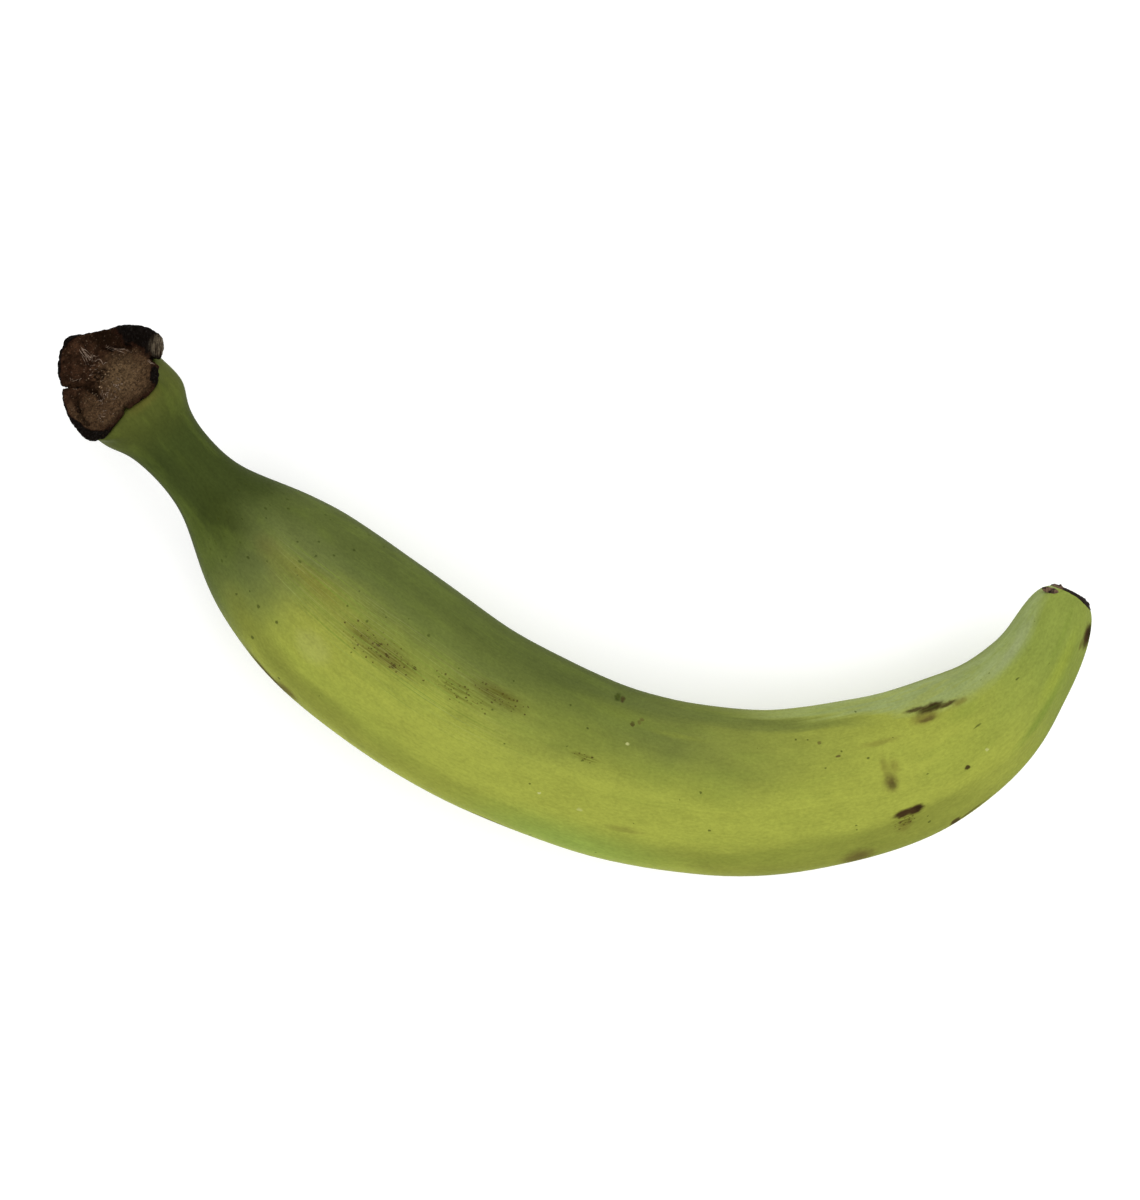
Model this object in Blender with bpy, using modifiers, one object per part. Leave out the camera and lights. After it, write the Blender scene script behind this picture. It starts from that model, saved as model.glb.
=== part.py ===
"""A green plantain, lying on its side.

The fruit grew as one piece, so it is one solid. It is modelled straight along
+X, from the cut crown to the tip, as a coarse cage of rings. A Subdivision
Surface rounds the cage, a Curve modifier bends it in the XY plane, and a
Boolean shaves the belly flat where it rests. The hollow side of the bend faces
+Y, and the fruit lies on z = 0 with its widest outline looking up.
"""

import math

import bmesh
import bpy
from mathutils import Matrix, Vector

MM = 0.001

# Driving dimensions, in millimetres and degrees.
SIDES = 16
SMOOTHING_LEVELS = 2
RESTING_SHAVE = 0.35
RIDGE_WIDTH = 20.0

# One row for each ring of the cage: distance along the fruit, half width, half
# depth, height of the underside above the floor (0 where the fruit rests), and
# ridge height as a share of the radius.
STATIONS = (
    (23.0, 8.7, 8.5, 13.2, 0.02),
    (31.0, 8.0, 8.0, 13.2, 0.03),
    (41.0, 8.7, 8.7, 11.4, 0.03),
    (52.0, 14.8, 14.0, 4.6, 0.03),
    (66.0, 20.2, 18.6, 0.0, 0.04),
    (86.0, 23.0, 21.2, 0.0, 0.05),
    (112.0, 23.2, 21.4, 0.0, 0.05),
    (142.0, 22.1, 20.4, 0.0, 0.05),
    (174.0, 21.4, 19.7, 0.0, 0.05),
    (206.0, 20.4, 18.9, 0.0, 0.05),
    (232.0, 19.3, 17.8, 0.0, 0.06),
    (252.0, 17.2, 16.1, 1.0, 0.07),
    (268.0, 13.6, 13.2, 4.2, 0.07),
    (284.0, 10.4, 10.2, 8.4, 0.06),
    (296.0, 8.8, 8.6, 10.6, 0.03),
    (301.5, 5.8, 5.6, 13.4, 0.0),
)

# The four lengthwise ridges: their angles round the fruit, where 0 is the hollow
# side of the bend, 90 the top and 180 the outer side, and how far each one turns
# between two distances along the fruit.
RIDGE_ANGLES = (12.0, 140.0, 222.0, 318.0)
RIDGE_TURNS = (46.0, 24.0, 14.0, 14.0)
TURN_STARTS, TURN_ENDS = 160.0, 262.0

# The crown flares from the neck and was cut from the bunch at a slant, so that
# its face looks up and away from the fruit. Its rim is three uneven lobes: one
# point for each side of the cage, as distance along, across and above the axis.
CROWN_RIM = (
    (0.8, 15.0, 0.2),
    (5.2, 15.6, 5.6),
    (8.6, 11.8, 9.8),
    (11.6, 6.6, 12.4),
    (12.4, 1.0, 12.9),
    (12.8, -5.0, 12.8),
    (13.0, -11.2, 11.0),
    (8.8, -15.9, 6.0),
    (2.4, -15.0, 0.6),
    (-3.4, -12.0, -4.6),
    (-7.4, -10.8, -9.2),
    (-11.8, -6.8, -12.2),
    (-14.0, -1.4, -13.2),
    (-11.0, 4.2, -12.4),
    (-7.6, 9.6, -9.8),
    (-3.6, 13.2, -5.0),
)
CROWN_HEIGHT = 22.0
CROWN_BACK_EDGE = 1.8
CROWN_HOLLOW = 0.8
COLLAR_DISTANCE = 14.8
COLLAR_HALF_WIDTH = 11.9
COLLAR_HALF_DEPTH = 11.4
COLLAR_SLANT = 0.42

# The middle line of the bent fruit, seen from above, from crown to tip.
MIDDLE_LINE = (
    (-117.4, 58.3),
    (-92.5, 29.4),
    (-71.4, 7.2),
    (-48.0, -12.6),
    (-15.2, -33.1),
    (28.9, -46.9),
    (67.1, -45.7),
    (96.4, -35.0),
    (113.1, -19.0),
    (124.7, 2.6),
)

PEEL_COLOUR = (0.33, 0.37, 0.07, 1.0)


def bump(angle, crest):
    """1 on the crest of a ridge, falling smoothly to 0 on both sides of it."""
    apart = (angle - crest + 180.0) % 360.0 - 180.0
    return math.exp(-((apart / RIDGE_WIDTH) ** 2))


def section(distance, ridge_height):
    """The outline across the fruit, scaled so that it spans -1 to 1 both ways."""
    share = (distance - TURN_STARTS) / (TURN_ENDS - TURN_STARTS)
    turned = min(max(share, 0.0), 1.0)
    outline = []
    for side in range(SIDES):
        angle = 360.0 * side / SIDES
        radius = 1.0
        for ridge, turn in zip(RIDGE_ANGLES, RIDGE_TURNS):
            radius += ridge_height * bump(angle, ridge + turn * turned)
        across = radius * math.cos(math.radians(angle))
        up = radius * math.sin(math.radians(angle))
        outline.append((across, up))
    across_all = [point[0] for point in outline]
    up_all = [point[1] for point in outline]
    return [
        (centred(across, across_all), centred(up, up_all)) for across, up in outline
    ]


def centred(value, values):
    low, high = min(values), max(values)
    return (2.0 * value - low - high) / (high - low)


def cage_growth():
    """How much wider than the smooth fruit its cage must be."""
    return 6.0 / (4.0 + 2.0 * math.cos(2.0 * math.pi / SIDES))


def body_ring(distance, half_width, half_depth, underside, ridge_height):
    """One ring of the cage along the neck, the belly and the tip."""
    middle = half_depth + (underside or -RESTING_SHAVE)
    grown = cage_growth()
    return [
        Vector((distance, half_width * grown * across, middle + half_depth * grown * up))
        for across, up in section(distance, ridge_height)
    ]


def crown_ring(share, distance):
    """The crown's rim, drawn in to a share of its size and moved along."""
    grown = cage_growth() * share
    middle = sum(point[0] for point in CROWN_RIM) / SIDES
    return [
        Vector(
            (
                middle + (along - middle) * share + distance,
                across * grown,
                CROWN_HEIGHT + above * grown,
            )
        )
        for along, across, above in CROWN_RIM
    ]


def collar_ring():
    """The slanted ring where the crown runs into the neck."""
    grown = cage_growth()
    return [
        Vector(
            (
                COLLAR_DISTANCE + COLLAR_SLANT * COLLAR_HALF_DEPTH * up,
                COLLAR_HALF_WIDTH * grown * across,
                CROWN_HEIGHT + COLLAR_HALF_DEPTH * grown * up,
            )
        )
        for across, up in section(COLLAR_DISTANCE, 0.0)
    ]


def cage_rings():
    """All the rings, from the middle of the cut face to the tip."""
    return [
        crown_ring(0.45, CROWN_HOLLOW),
        crown_ring(0.9, 0.0),
        crown_ring(1.0, 0.0),
        crown_ring(0.95, CROWN_BACK_EDGE),
        collar_ring(),
    ] + [body_ring(*station) for station in STATIONS]


def build_cage():
    """A cylinder cut across into rings, each then drawn to its own outline."""
    rings = cage_rings()
    spans = len(rings) - 1
    bm = bmesh.new()
    bmesh.ops.create_cone(
        bm,
        cap_ends=True,
        segments=SIDES,
        radius1=1.0,
        radius2=1.0,
        depth=spans,
        matrix=Matrix.Rotation(math.radians(90.0), 4, "Y"),
    )
    lengthwise = [edge for edge in bm.edges if is_lengthwise(edge)]
    bmesh.ops.subdivide_edges(bm, edges=lengthwise, cuts=spans - 1)
    for vert in bm.verts:
        ring = round(vert.co.x + spans / 2)
        angle = math.degrees(math.atan2(vert.co.z, vert.co.y))
        side = round(angle * SIDES / 360.0) % SIDES
        vert.co = rings[ring][side] * MM
    mesh = bpy.data.meshes.new("plantain")
    bm.to_mesh(mesh)
    bm.free()
    mesh.shade_smooth()
    return mesh


def is_lengthwise(edge):
    first, second = edge.verts
    return abs(first.co.x - second.co.x) > 0.5


def new_collection(name):
    made = bpy.data.collections.new(name)
    bpy.context.scene.collection.children.link(made)
    return made


def as_helper(helper, collection):
    collection.objects.link(helper)
    helper.hide_render = True
    helper.display_type = "WIRE"
    return helper


def build_bend(collection):
    """The guide that the straight fruit is bent along."""
    curve = bpy.data.curves.new("middle_line", "CURVE")
    curve.dimensions = "3D"
    curve.twist_mode = "Z_UP"
    curve.resolution_u = 48
    spline = curve.splines.new("BEZIER")
    spline.bezier_points.add(len(MIDDLE_LINE) - 1)
    for knot, (x, y) in zip(spline.bezier_points, MIDDLE_LINE):
        knot.co = Vector((x, y, 0.0)) * MM
        knot.handle_left_type = "AUTO"
        knot.handle_right_type = "AUTO"
    return as_helper(bpy.data.objects.new("middle_line", curve), collection)


def build_floor_cutter(collection):
    """A block whose top is the surface that the fruit lies on."""
    bm = bmesh.new()
    bmesh.ops.create_cube(bm, size=1.0)
    bmesh.ops.scale(bm, vec=(0.4, 0.3, 0.02), verts=bm.verts)
    bmesh.ops.translate(bm, vec=(0.0, 0.0, -0.01), verts=bm.verts)
    mesh = bpy.data.meshes.new("floor_cutter")
    bm.to_mesh(mesh)
    bm.free()
    return as_helper(bpy.data.objects.new("floor_cutter", mesh), collection)


def peel_material():
    material = bpy.data.materials.new("green_peel")
    material.use_nodes = True
    shader = material.node_tree.nodes["Principled BSDF"]
    shader.inputs["Base Color"].default_value = PEEL_COLOUR
    shader.inputs["Roughness"].default_value = 0.45
    shader.inputs["Metallic"].default_value = 0.0
    material.diffuse_color = PEEL_COLOUR
    return material


def build_plantain():
    parts = new_collection("plantain_fruit")
    guides = new_collection("guides")
    fruit = bpy.data.objects.new("plantain", build_cage())
    parts.objects.link(fruit)
    fruit.data.materials.append(peel_material())

    smooth = fruit.modifiers.new("smooth", "SUBSURF")
    smooth.levels = SMOOTHING_LEVELS
    smooth.render_levels = SMOOTHING_LEVELS

    bend = fruit.modifiers.new("bend", "CURVE")
    bend.object = build_bend(guides)
    bend.deform_axis = "POS_X"

    rest = fruit.modifiers.new("rest", "BOOLEAN")
    rest.operation = "DIFFERENCE"
    rest.object = build_floor_cutter(guides)
    return fruit


for leftover in list(bpy.data.objects):
    bpy.data.objects.remove(leftover, do_unlink=True)
build_plantain()
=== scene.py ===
# %% [markdown]
# # A green plantain, modelled and painted
#
# The fruit lies on its side on a pale floor. It is made straight first, as a loaf of rings
# from crown to tip, because a straight fruit is easy to measure and to mark. Only then is it
# bent along its middle line. Three small pieces finish it: the dried crown where it was cut
# from the bunch, the frayed fibres on that cut, and the scar that the flower left on the tip.

import math
import random

import bmesh
import bpy
from mathutils import Matrix, Vector, geometry
from mathutils.bvhtree import BVHTree


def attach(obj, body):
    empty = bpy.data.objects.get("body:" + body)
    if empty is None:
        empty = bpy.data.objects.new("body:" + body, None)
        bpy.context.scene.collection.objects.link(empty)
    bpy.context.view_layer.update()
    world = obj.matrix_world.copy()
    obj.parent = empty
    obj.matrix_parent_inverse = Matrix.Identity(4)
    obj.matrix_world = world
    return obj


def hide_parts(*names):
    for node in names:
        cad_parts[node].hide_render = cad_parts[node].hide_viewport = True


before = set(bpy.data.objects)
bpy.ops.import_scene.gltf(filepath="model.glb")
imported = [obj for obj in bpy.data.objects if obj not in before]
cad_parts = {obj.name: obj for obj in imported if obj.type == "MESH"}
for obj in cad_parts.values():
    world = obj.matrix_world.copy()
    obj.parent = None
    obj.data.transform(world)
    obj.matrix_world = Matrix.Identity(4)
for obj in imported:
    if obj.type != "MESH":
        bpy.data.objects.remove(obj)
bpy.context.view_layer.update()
MM = 0.001

# %% [markdown]
# ## Camera
#
# A view from straight above shows the whole bend without foreshortening. A long lens from
# 1.2 m away keeps the high and the low parts of the fruit at nearly the same scale. The lens
# is worked out from the field that the picture should cover at the height of the fruit's axis.

# %% Camera straight above the fruit
AXIS_HEIGHT = 22.0
FIELD = 300.0
CAMERA_DISTANCE = 1200.0
SENSOR = 36.0

bpy.ops.object.camera_add(location=(-1.0 * MM, 0.125 * MM, (AXIS_HEIGHT + CAMERA_DISTANCE) * MM))
camera = bpy.context.object
camera.name = "overhead_camera"
camera.data.sensor_width = SENSOR
camera.data.lens = SENSOR * CAMERA_DISTANCE / FIELD
bpy.context.scene.camera = camera
print("lens in mm:", camera.data.lens)

# %% [markdown]
# ## Helpers for working by hand
#
# An operator acts on whatever is selected, so each step first says which object and which
# corners it means. `pick` selects by a rule, the way one would box-select in the viewport.

# %% Selecting objects and corners


def only(*objects):
    """Selects these objects and nothing else. The first one becomes active."""
    bpy.ops.object.select_all(action="DESELECT")
    for chosen in objects:
        chosen.select_set(True)
    bpy.context.view_layer.objects.active = objects[0]


def pick(piece, wanted):
    """In edit mode, selects the corners for which wanted(corner) is true."""
    bpy.ops.mesh.select_all(action="DESELECT")
    shape = bmesh.from_edit_mesh(piece.data)
    for corner in shape.verts:
        corner.select = wanted(corner)
    shape.select_flush(True)
    bmesh.update_edit_mesh(piece.data)


def picked(piece):
    """The corners selected in edit mode."""
    return [corner for corner in bmesh.from_edit_mesh(piece.data).verts if corner.select]


def apply_modifier(piece, kind, **settings):
    """Adds one modifier, sets it and applies it at once."""
    only(piece)
    modifier = piece.modifiers.new(kind.lower(), kind)
    for name, value in settings.items():
        setattr(modifier, name, value)
    bpy.ops.object.modifier_apply(modifier=modifier.name)


# %% [markdown]
# ## The skin, ring by ring
#
# The peel is one smooth closed skin with five blunt lengthwise ridges. It could be carved
# from a cylinder, but a loft of rings gives control over every station: a circle of 24
# corners is extruded from the neck to the tip, and each new ring is fitted to its width and
# depth. Corners at fixed steps of 15 degrees form columns that run the whole length, so a
# ridge is simply a column that is pulled out. Past the belly the real ridges wind round the
# fruit, so the rings are turned a little more at each station. Each corner carries two
# labels, its column and its ring, so that any of them can be picked again later.

# %% Stations along the fruit
COLUMNS = 24
STEP = 360.0 / COLUMNS
SMOOTHING_GROWTH = 6.0 / (4.0 + 2.0 * math.cos(math.radians(STEP)))
RESTING_SHAVE = 0.35

# Distance along, half width, half depth, height of the underside, ridge height as a share.
STATIONS = (
    (23.0, 8.85, 8.7, 12.9, 0.01),
    (31.0, 8.05, 8.1, 13.0, 0.02),
    (41.0, 8.85, 8.8, 11.2, 0.03),
    (52.0, 14.95, 14.1, 4.5, 0.04),
    (66.0, 20.3, 18.6, 0.0, 0.05),
    (86.0, 23.1, 21.2, 0.0, 0.06),
    (112.0, 23.3, 21.4, 0.0, 0.06),
    (142.0, 22.2, 20.4, 0.0, 0.06),
    (174.0, 21.3, 19.6, 0.0, 0.07),
    (202.0, 20.7, 18.9, 0.0, 0.08),
    (224.0, 20.2, 18.3, 0.0, 0.09),
    (242.0, 18.9, 17.0, 0.3, 0.10),
    (256.0, 16.8, 15.3, 2.0, 0.10),
    (269.0, 14.0, 13.1, 4.6, 0.10),
    (281.0, 10.9, 10.6, 7.8, 0.09),
    (290.5, 9.8, 9.4, 9.9, 0.07),
    (296.2, 8.5, 8.2, 11.3, 0.04),
    (299.5, 7.0, 6.7, 13.0, 0.03),
    (301.3, 4.6, 4.4, 15.3, 0.01),
)

# Each ridge: its column, where it begins to show and where it has its full height.
RIDGES = (
    (1, 40.0, 150.0),
    (7, 225.0, 262.0),
    (10, 40.0, 66.0),
    (15, 40.0, 66.0),
    (21, 40.0, 66.0),
)
RIDGE_SHOULDER = 0.35
WINDING_STARTS, WINDING_ENDS, WINDING = 200.0, 270.0, 22.0


def rise(value, low, high):
    """0 below low, 1 above high and a smooth ramp between them."""
    share = min(max((value - low) / (high - low), 0.0), 1.0)
    return share * share * (3.0 - 2.0 * share)


def winding_at(distance):
    """How many degrees the ridges have wound by this distance."""
    share = (distance - WINDING_STARTS) / (WINDING_ENDS - WINDING_STARTS)
    return WINDING * min(max(share, 0.0), 1.0)


# %% First ring, where the neck begins
bpy.ops.object.select_all(action="DESELECT")
bpy.ops.mesh.primitive_circle_add(
    vertices=COLUMNS,
    radius=MM,
    location=(STATIONS[0][0] * MM, 0.0, AXIS_HEIGHT * MM),
    rotation=(0.0, math.radians(90.0), 0.0),
)
skin = bpy.context.object


def labels(piece):
    """The mesh in edit mode with the two labels that say where a corner belongs."""
    shape = bmesh.from_edit_mesh(piece.data)
    return shape, shape.verts.layers.int["column"], shape.verts.layers.int["ring"]


def begin_cage(piece, name, middle):
    """Names a new piece, enters edit mode and writes each corner's column, counted round middle."""
    piece.name = name
    bpy.ops.object.transform_apply()
    for label in ("column", "ring"):
        piece.data.attributes.new(label, "INT", "POINT")
    bpy.ops.object.mode_set(mode="EDIT")
    shape, column, _ = labels(piece)
    for corner in shape.verts:
        angle = math.degrees(math.atan2(corner.co.z - middle.z * MM, corner.co.y - middle.y * MM))
        corner[column] = round(angle / STEP) % COLUMNS
    bmesh.update_edit_mesh(piece.data)


def drop_labels(piece):
    """Removes the two labels once the cage is finished, if smoothing or cutting left them."""
    for label in ("column", "ring"):
        if label in piece.data.attributes:
            piece.data.attributes.remove(piece.data.attributes[label])


def label_ring(piece, number):
    """Writes this ring number on the selected corners."""
    shape, _, ring = labels(piece)
    for corner in shape.verts:
        if corner.select:
            corner[ring] = number
    bmesh.update_edit_mesh(piece.data)


def pick_ring(piece, number, *columns):
    """Selects one ring, or only these columns of it."""
    _, column, ring = labels(piece)
    pick(piece, lambda corner: corner[ring] == number and (not columns or corner[column] in columns))


begin_cage(skin, "plantain_skin", Vector((STATIONS[0][0], 0.0, AXIS_HEIGHT)))
print("columns:", COLUMNS, "stations:", len(STATIONS))

# %% Extrude ring after ring to the tip


def fit_ring(piece, half_width, half_depth, middle, across=0.0):
    """Sizes the selected ring so that, once smoothed, it has this width, depth and middle."""
    places = [corner.co for corner in picked(piece)]
    lowest = [min(place[axis] for place in places) for axis in range(3)]
    highest = [max(place[axis] for place in places) for axis in range(3)]
    centre = Vector([(low + high) / 2 for low, high in zip(lowest, highest)])
    wider = 2.0 * (half_width * SMOOTHING_GROWTH) * MM / (highest[1] - lowest[1])
    deeper = 2.0 * (half_depth * SMOOTHING_GROWTH) * MM / (highest[2] - lowest[2])
    bpy.ops.transform.resize(value=(1.0, wider, deeper), center_override=centre)
    bpy.ops.transform.translate(value=(0.0, across * MM - centre.y, middle * MM - centre.z))


def middle_height(station):
    """The height of a ring's middle. Where the fruit rests, its underside is shaved flat."""
    return (station[3] or -RESTING_SHAVE) + station[2]


def ridge_height(ridge, station):
    """How far this ridge stands out at a station, as a share of the radius."""
    _, starts, full = ridge
    return station[4] * rise(station[0], starts, full)


def raise_ridges(piece, number, station, before, centre):
    """Pulls the ridge columns of one ring out, and their neighbours a little."""
    for ridge in RIDGES:
        now, was = ridge_height(ridge, station), ridge_height(ridge, before)
        for columns, part in (((0,), 1.0), ((-1, 1), RIDGE_SHOULDER)):
            growth = (1.0 + now * part) / (1.0 + was * part)
            pick_ring(piece, number, *[(ridge[0] + side) % COLUMNS for side in columns])
            bpy.ops.transform.resize(value=(1.0, growth, growth), center_override=centre)


def next_ring(piece, number, station, before):
    """Extrudes the open end to the next station and gives the new ring its outline."""
    distance, half_width, half_depth, _, _ = station
    pick_ring(piece, number - 1)
    bpy.ops.mesh.extrude_region_move(
        TRANSFORM_OT_translate={"value": ((distance - before[0]) * MM, 0.0, 0.0)}
    )
    label_ring(piece, number)
    centre = Vector((distance, 0.0, middle_height(before))) * MM
    bpy.ops.transform.resize(value=(1.0, 1.0 / before[1], 1.0 / before[2]), center_override=centre)
    more = winding_at(distance) - winding_at(before[0])
    bpy.ops.transform.rotate(value=-math.radians(more), orient_axis="X", center_override=centre)
    raise_ridges(piece, number, station, before, centre)
    pick_ring(piece, number)
    fit_ring(piece, half_width, half_depth, middle_height(station))


pick_ring(skin, 0)
fit_ring(skin, STATIONS[0][1], STATIONS[0][2], middle_height(STATIONS[0]))
for number, (before, station) in enumerate(zip(STATIONS, STATIONS[1:]), start=1):
    next_ring(skin, number, station, before)
print("corners after the last ring:", len(bmesh.from_edit_mesh(skin.data).verts))
bpy.ops.object.mode_set(mode="OBJECT")

# %% [markdown]
# ## The crown end of the skin
#
# Towards the bunch the neck flares into a thick collar and ends in a slanted cut that looks
# up and away from the fruit. The cut is no circle: three fruit stalks had grown together
# there, so its outline has lobes with notches between them. `LOBES` holds how far each
# column of the outline stands from the middle of the cut, and `rim_point` places it on the
# slanted plane. The skin stops a little inside that outline, and the dried crown covers it.

# %% The slanted cut and its lobed outline
CUT_MIDDLE = Vector((1.5, 0.0, AXIS_HEIGHT))
CUT_SLOPE = Vector((0.681, 0.0, 0.732))
CUT_FACING = Vector((-0.732, 0.0, 0.681))
LOBES = (
    15.1, 16.6, 16.6, 15.2, 17.6, 17.6, 16.4, 17.4, 22.0, 20.8, 17.5, 15.6,
    14.3, 14.0, 13.8, 15.7, 18.4, 21.4, 20.0, 16.1, 15.0, 14.3, 13.6, 14.2,
)
LUMP_COLUMNS = (21, 22, 23, 0, 1, 2)
GREEN_UNDER_LUMP = (11.4, 11.5, 11.7, 11.8, 12.0, 12.8)
SKIN_INSET = 0.7
SKIN_SINK = 0.9


def rim_point(column, radius, lifted=0.0):
    """The place on the cut at this column and distance from its middle, in metres."""
    angle = math.radians(column * STEP)
    on_cut = CUT_SLOPE * (radius * math.sin(angle)) + Vector((0.0, radius * math.cos(angle), 0.0))
    return (CUT_MIDDLE + on_cut + CUT_FACING * lifted) * MM


def cage_radius(column):
    """The lobe's radius, exaggerated as much as smoothing will flatten it again."""
    beside = LOBES[column - 1] + LOBES[(column + 1) % COLUMNS]
    smoothed = (4.0 * LOBES[column] + math.cos(math.radians(STEP)) * beside) / 6.0
    return 2.0 * LOBES[column] - smoothed


def green_radius(column):
    """How far out the green skin reaches at the cut, under the black lump or elsewhere."""
    if column in LUMP_COLUMNS:
        return GREEN_UNDER_LUMP[LUMP_COLUMNS.index(column)]
    return cage_radius(column) - SKIN_INSET


def draw_ring(piece, number, place, share=1.0):
    """Moves each corner of a ring a share of the way to place(column)."""
    for column_number in range(COLUMNS):
        pick_ring(piece, number, column_number)
        corner = picked(piece)[0]
        bpy.ops.transform.translate(value=(place(column_number) - corner.co) * share)


# %% Flare the neck and close both ends
# Distance along, half width, half depth, height of the middle, slant in degrees, shift
# towards the hollow side.
COLLARS = (
    (19.0, 10.5, 10.0, 21.7, 12.0, 0.2),
    (15.2, 12.9, 11.7, 21.3, 23.0, 0.3),
)
FLARE_SHARE = 0.5
FLARE, RIM, INSIDE = -3, -4, 99  # ring labels

bpy.ops.object.mode_set(mode="EDIT")
before = STATIONS[0][0]
for number, (distance, half_width, half_depth, middle, slant, shift) in enumerate(COLLARS):
    pick_ring(skin, -number)
    bpy.ops.mesh.extrude_region_move(
        TRANSFORM_OT_translate={"value": ((distance - before) * MM, 0.0, 0.0)}
    )
    label_ring(skin, -number - 1)
    pick_ring(skin, -number - 1)
    earlier = COLLARS[number - 1][4] if number else 0.0
    bpy.ops.transform.rotate(
        value=-math.radians(slant - earlier),
        orient_axis="Y",
        center_override=Vector((distance, 0.0, AXIS_HEIGHT)) * MM,
    )
    fit_ring(skin, half_width, half_depth, middle, shift)
    before = distance

for number in (FLARE, RIM):
    pick_ring(skin, number + 1)
    bpy.ops.mesh.extrude_region_move()
    label_ring(skin, number)
    share = FLARE_SHARE if number == FLARE else 1.0
    draw_ring(skin, number, lambda column: rim_point(column, green_radius(column), -SKIN_SINK), share)


def close_end(piece, number, shares, sink):
    """Fills a ring and steps the face inwards, each step sunk a little below the last."""
    pick_ring(piece, number)
    bpy.ops.mesh.edge_face_add()
    for share in shares:
        places = [corner.co for corner in picked(piece)]
        middle = sum(places, Vector()) / len(places)
        bpy.ops.mesh.extrude_region_move(TRANSFORM_OT_translate={"value": sink * MM})
        label_ring(piece, INSIDE)
        bpy.ops.transform.resize(value=(share, share, share), center_override=middle)


def finish_cage(piece):
    """Turns all faces outwards and leaves edit mode."""
    bpy.ops.mesh.select_all(action="SELECT")
    bpy.ops.mesh.normals_make_consistent(inside=False)
    bpy.ops.object.mode_set(mode="OBJECT")
    print("faces in the cage of the", piece.name, len(piece.data.polygons))


close_end(skin, RIM, shares=(0.92, 0.5), sink=CUT_FACING * -0.9)
close_end(skin, len(STATIONS) - 1, shares=(0.6,), sink=Vector((-0.1, 0.0, 0.0)))
finish_cage(skin)

# %% [markdown]
# ## Smooth the cage and let it swell a little
#
# Subdivision rounds the cage. A real peel is never as even as that, so a slow cloud pattern
# pushes it in and out by a few tenths of a millimetre. The places of all the corners are
# then written down while the fruit is still straight: `straight` tells the paint how far
# along and which way round a spot is, whatever the bend does afterwards.

# %% Subdivide, swell and note the straight places
SMOOTHING_LEVELS = 3
SWELL = 0.5
SWELL_SIZE = 24.0


def displace(piece, name, strength, size=None, depth=2, group=""):
    """Pushes a surface in and out by a cloud pattern of this size, or evenly if it has no size."""
    texture = None
    if size:
        texture = bpy.data.textures.new(name, "CLOUDS")
        texture.noise_scale = size * MM
        texture.noise_depth = depth
    apply_modifier(
        piece, "DISPLACE", texture=texture, strength=strength * MM,
        mid_level=0.5 if size else 0.0, vertex_group=group,
    )


def note_straight_places(piece):
    """Stores each corner's place along, across and above the axis, in millimetres."""
    noted = piece.data.attributes.new("straight", "FLOAT_VECTOR", "POINT")
    for corner, note in zip(piece.data.vertices, noted.data):
        note.vector = corner.co / MM - Vector((0.0, 0.0, AXIS_HEIGHT))


apply_modifier(skin, "SUBSURF", levels=SMOOTHING_LEVELS, render_levels=SMOOTHING_LEVELS)
displace(skin, "slow_swell", SWELL, SWELL_SIZE, depth=1)
drop_labels(skin)
note_straight_places(skin)
straight_skin = BVHTree.FromObject(skin, bpy.context.evaluated_depsgraph_get())
print("skin faces:", len(skin.data.polygons))

# %% [markdown]
# ## The dried crown
#
# Where the hand of fruit was cut, the stalk tissue dried to brown cork with a blackened rim.
# On the hollow side a thick black lump, the torn stump of the neighbouring fruit, stands up
# from the rim, with a crevice under it. A cylinder of 24 sides is drawn onto the lobed
# outline, its face is stepped inwards ring by ring, and the lump is pulled up from it. The
# cork's crumbly relief is too fine for a cage, so the smooth form is remeshed evenly and
# displaced with cloud patterns.

# %% Block out the crown
CROWN_DEPTH = 2.2
BACK_SHARE, EDGE_GROWTH = 0.95, 1.03
FACE_RINGS = (  # share of the outline, height above the cut
    (0.93, 0.5),
    (0.83, -0.7),
    (0.64, -0.5),
    (0.40, -1.0),
    (0.16, -0.7),
)
LUMP_RISE = (0.6, 1.0, 1.0, 0.1)
LUMP_HEIGHT = 2.4
LUMP_PROFILE = {21: 0.55, 22: 0.9, 23: 1.0, 0: 1.0, 1: 1.0, 2: 0.9}

bpy.ops.object.select_all(action="DESELECT")
bpy.ops.mesh.primitive_cylinder_add(
    vertices=COLUMNS,
    radius=10.0 * MM,
    depth=CROWN_DEPTH * MM,
    location=CUT_MIDDLE * MM,
    rotation=(0.0, math.radians(90.0), 0.0),
)
crown = bpy.context.object
begin_cage(crown, "dried_crown", CUT_MIDDLE)
pick(crown, lambda corner: corner.co.x < CUT_MIDDLE.x * MM)
label_ring(crown, 1)
draw_ring(crown, 0, lambda column: rim_point(column, cage_radius(column) * BACK_SHARE, -CROWN_DEPTH))
draw_ring(crown, 1, lambda column: rim_point(column, cage_radius(column) * EDGE_GROWTH))

for number, (share, height) in enumerate(FACE_RINGS, start=2):
    pick_ring(crown, number - 1)
    bpy.ops.mesh.extrude_region_move()
    label_ring(crown, number)
    draw_ring(crown, number, lambda column: rim_point(column, cage_radius(column) * share, height))

for number, part in enumerate(LUMP_RISE, start=1):
    for column, profile in LUMP_PROFILE.items():
        pick_ring(crown, number, column)
        bpy.ops.transform.translate(value=CUT_FACING * (LUMP_HEIGHT * part * profile * MM))
finish_cage(crown)

# %% [markdown]
# The notches where the stalks meet are narrower than the spacing of the columns. They are
# cut like one would with a blade: a three-sided prism, its sharp edge pointing inwards, is
# taken out of the crown with a Boolean. The same blade opens the crevice under the lump.

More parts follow.
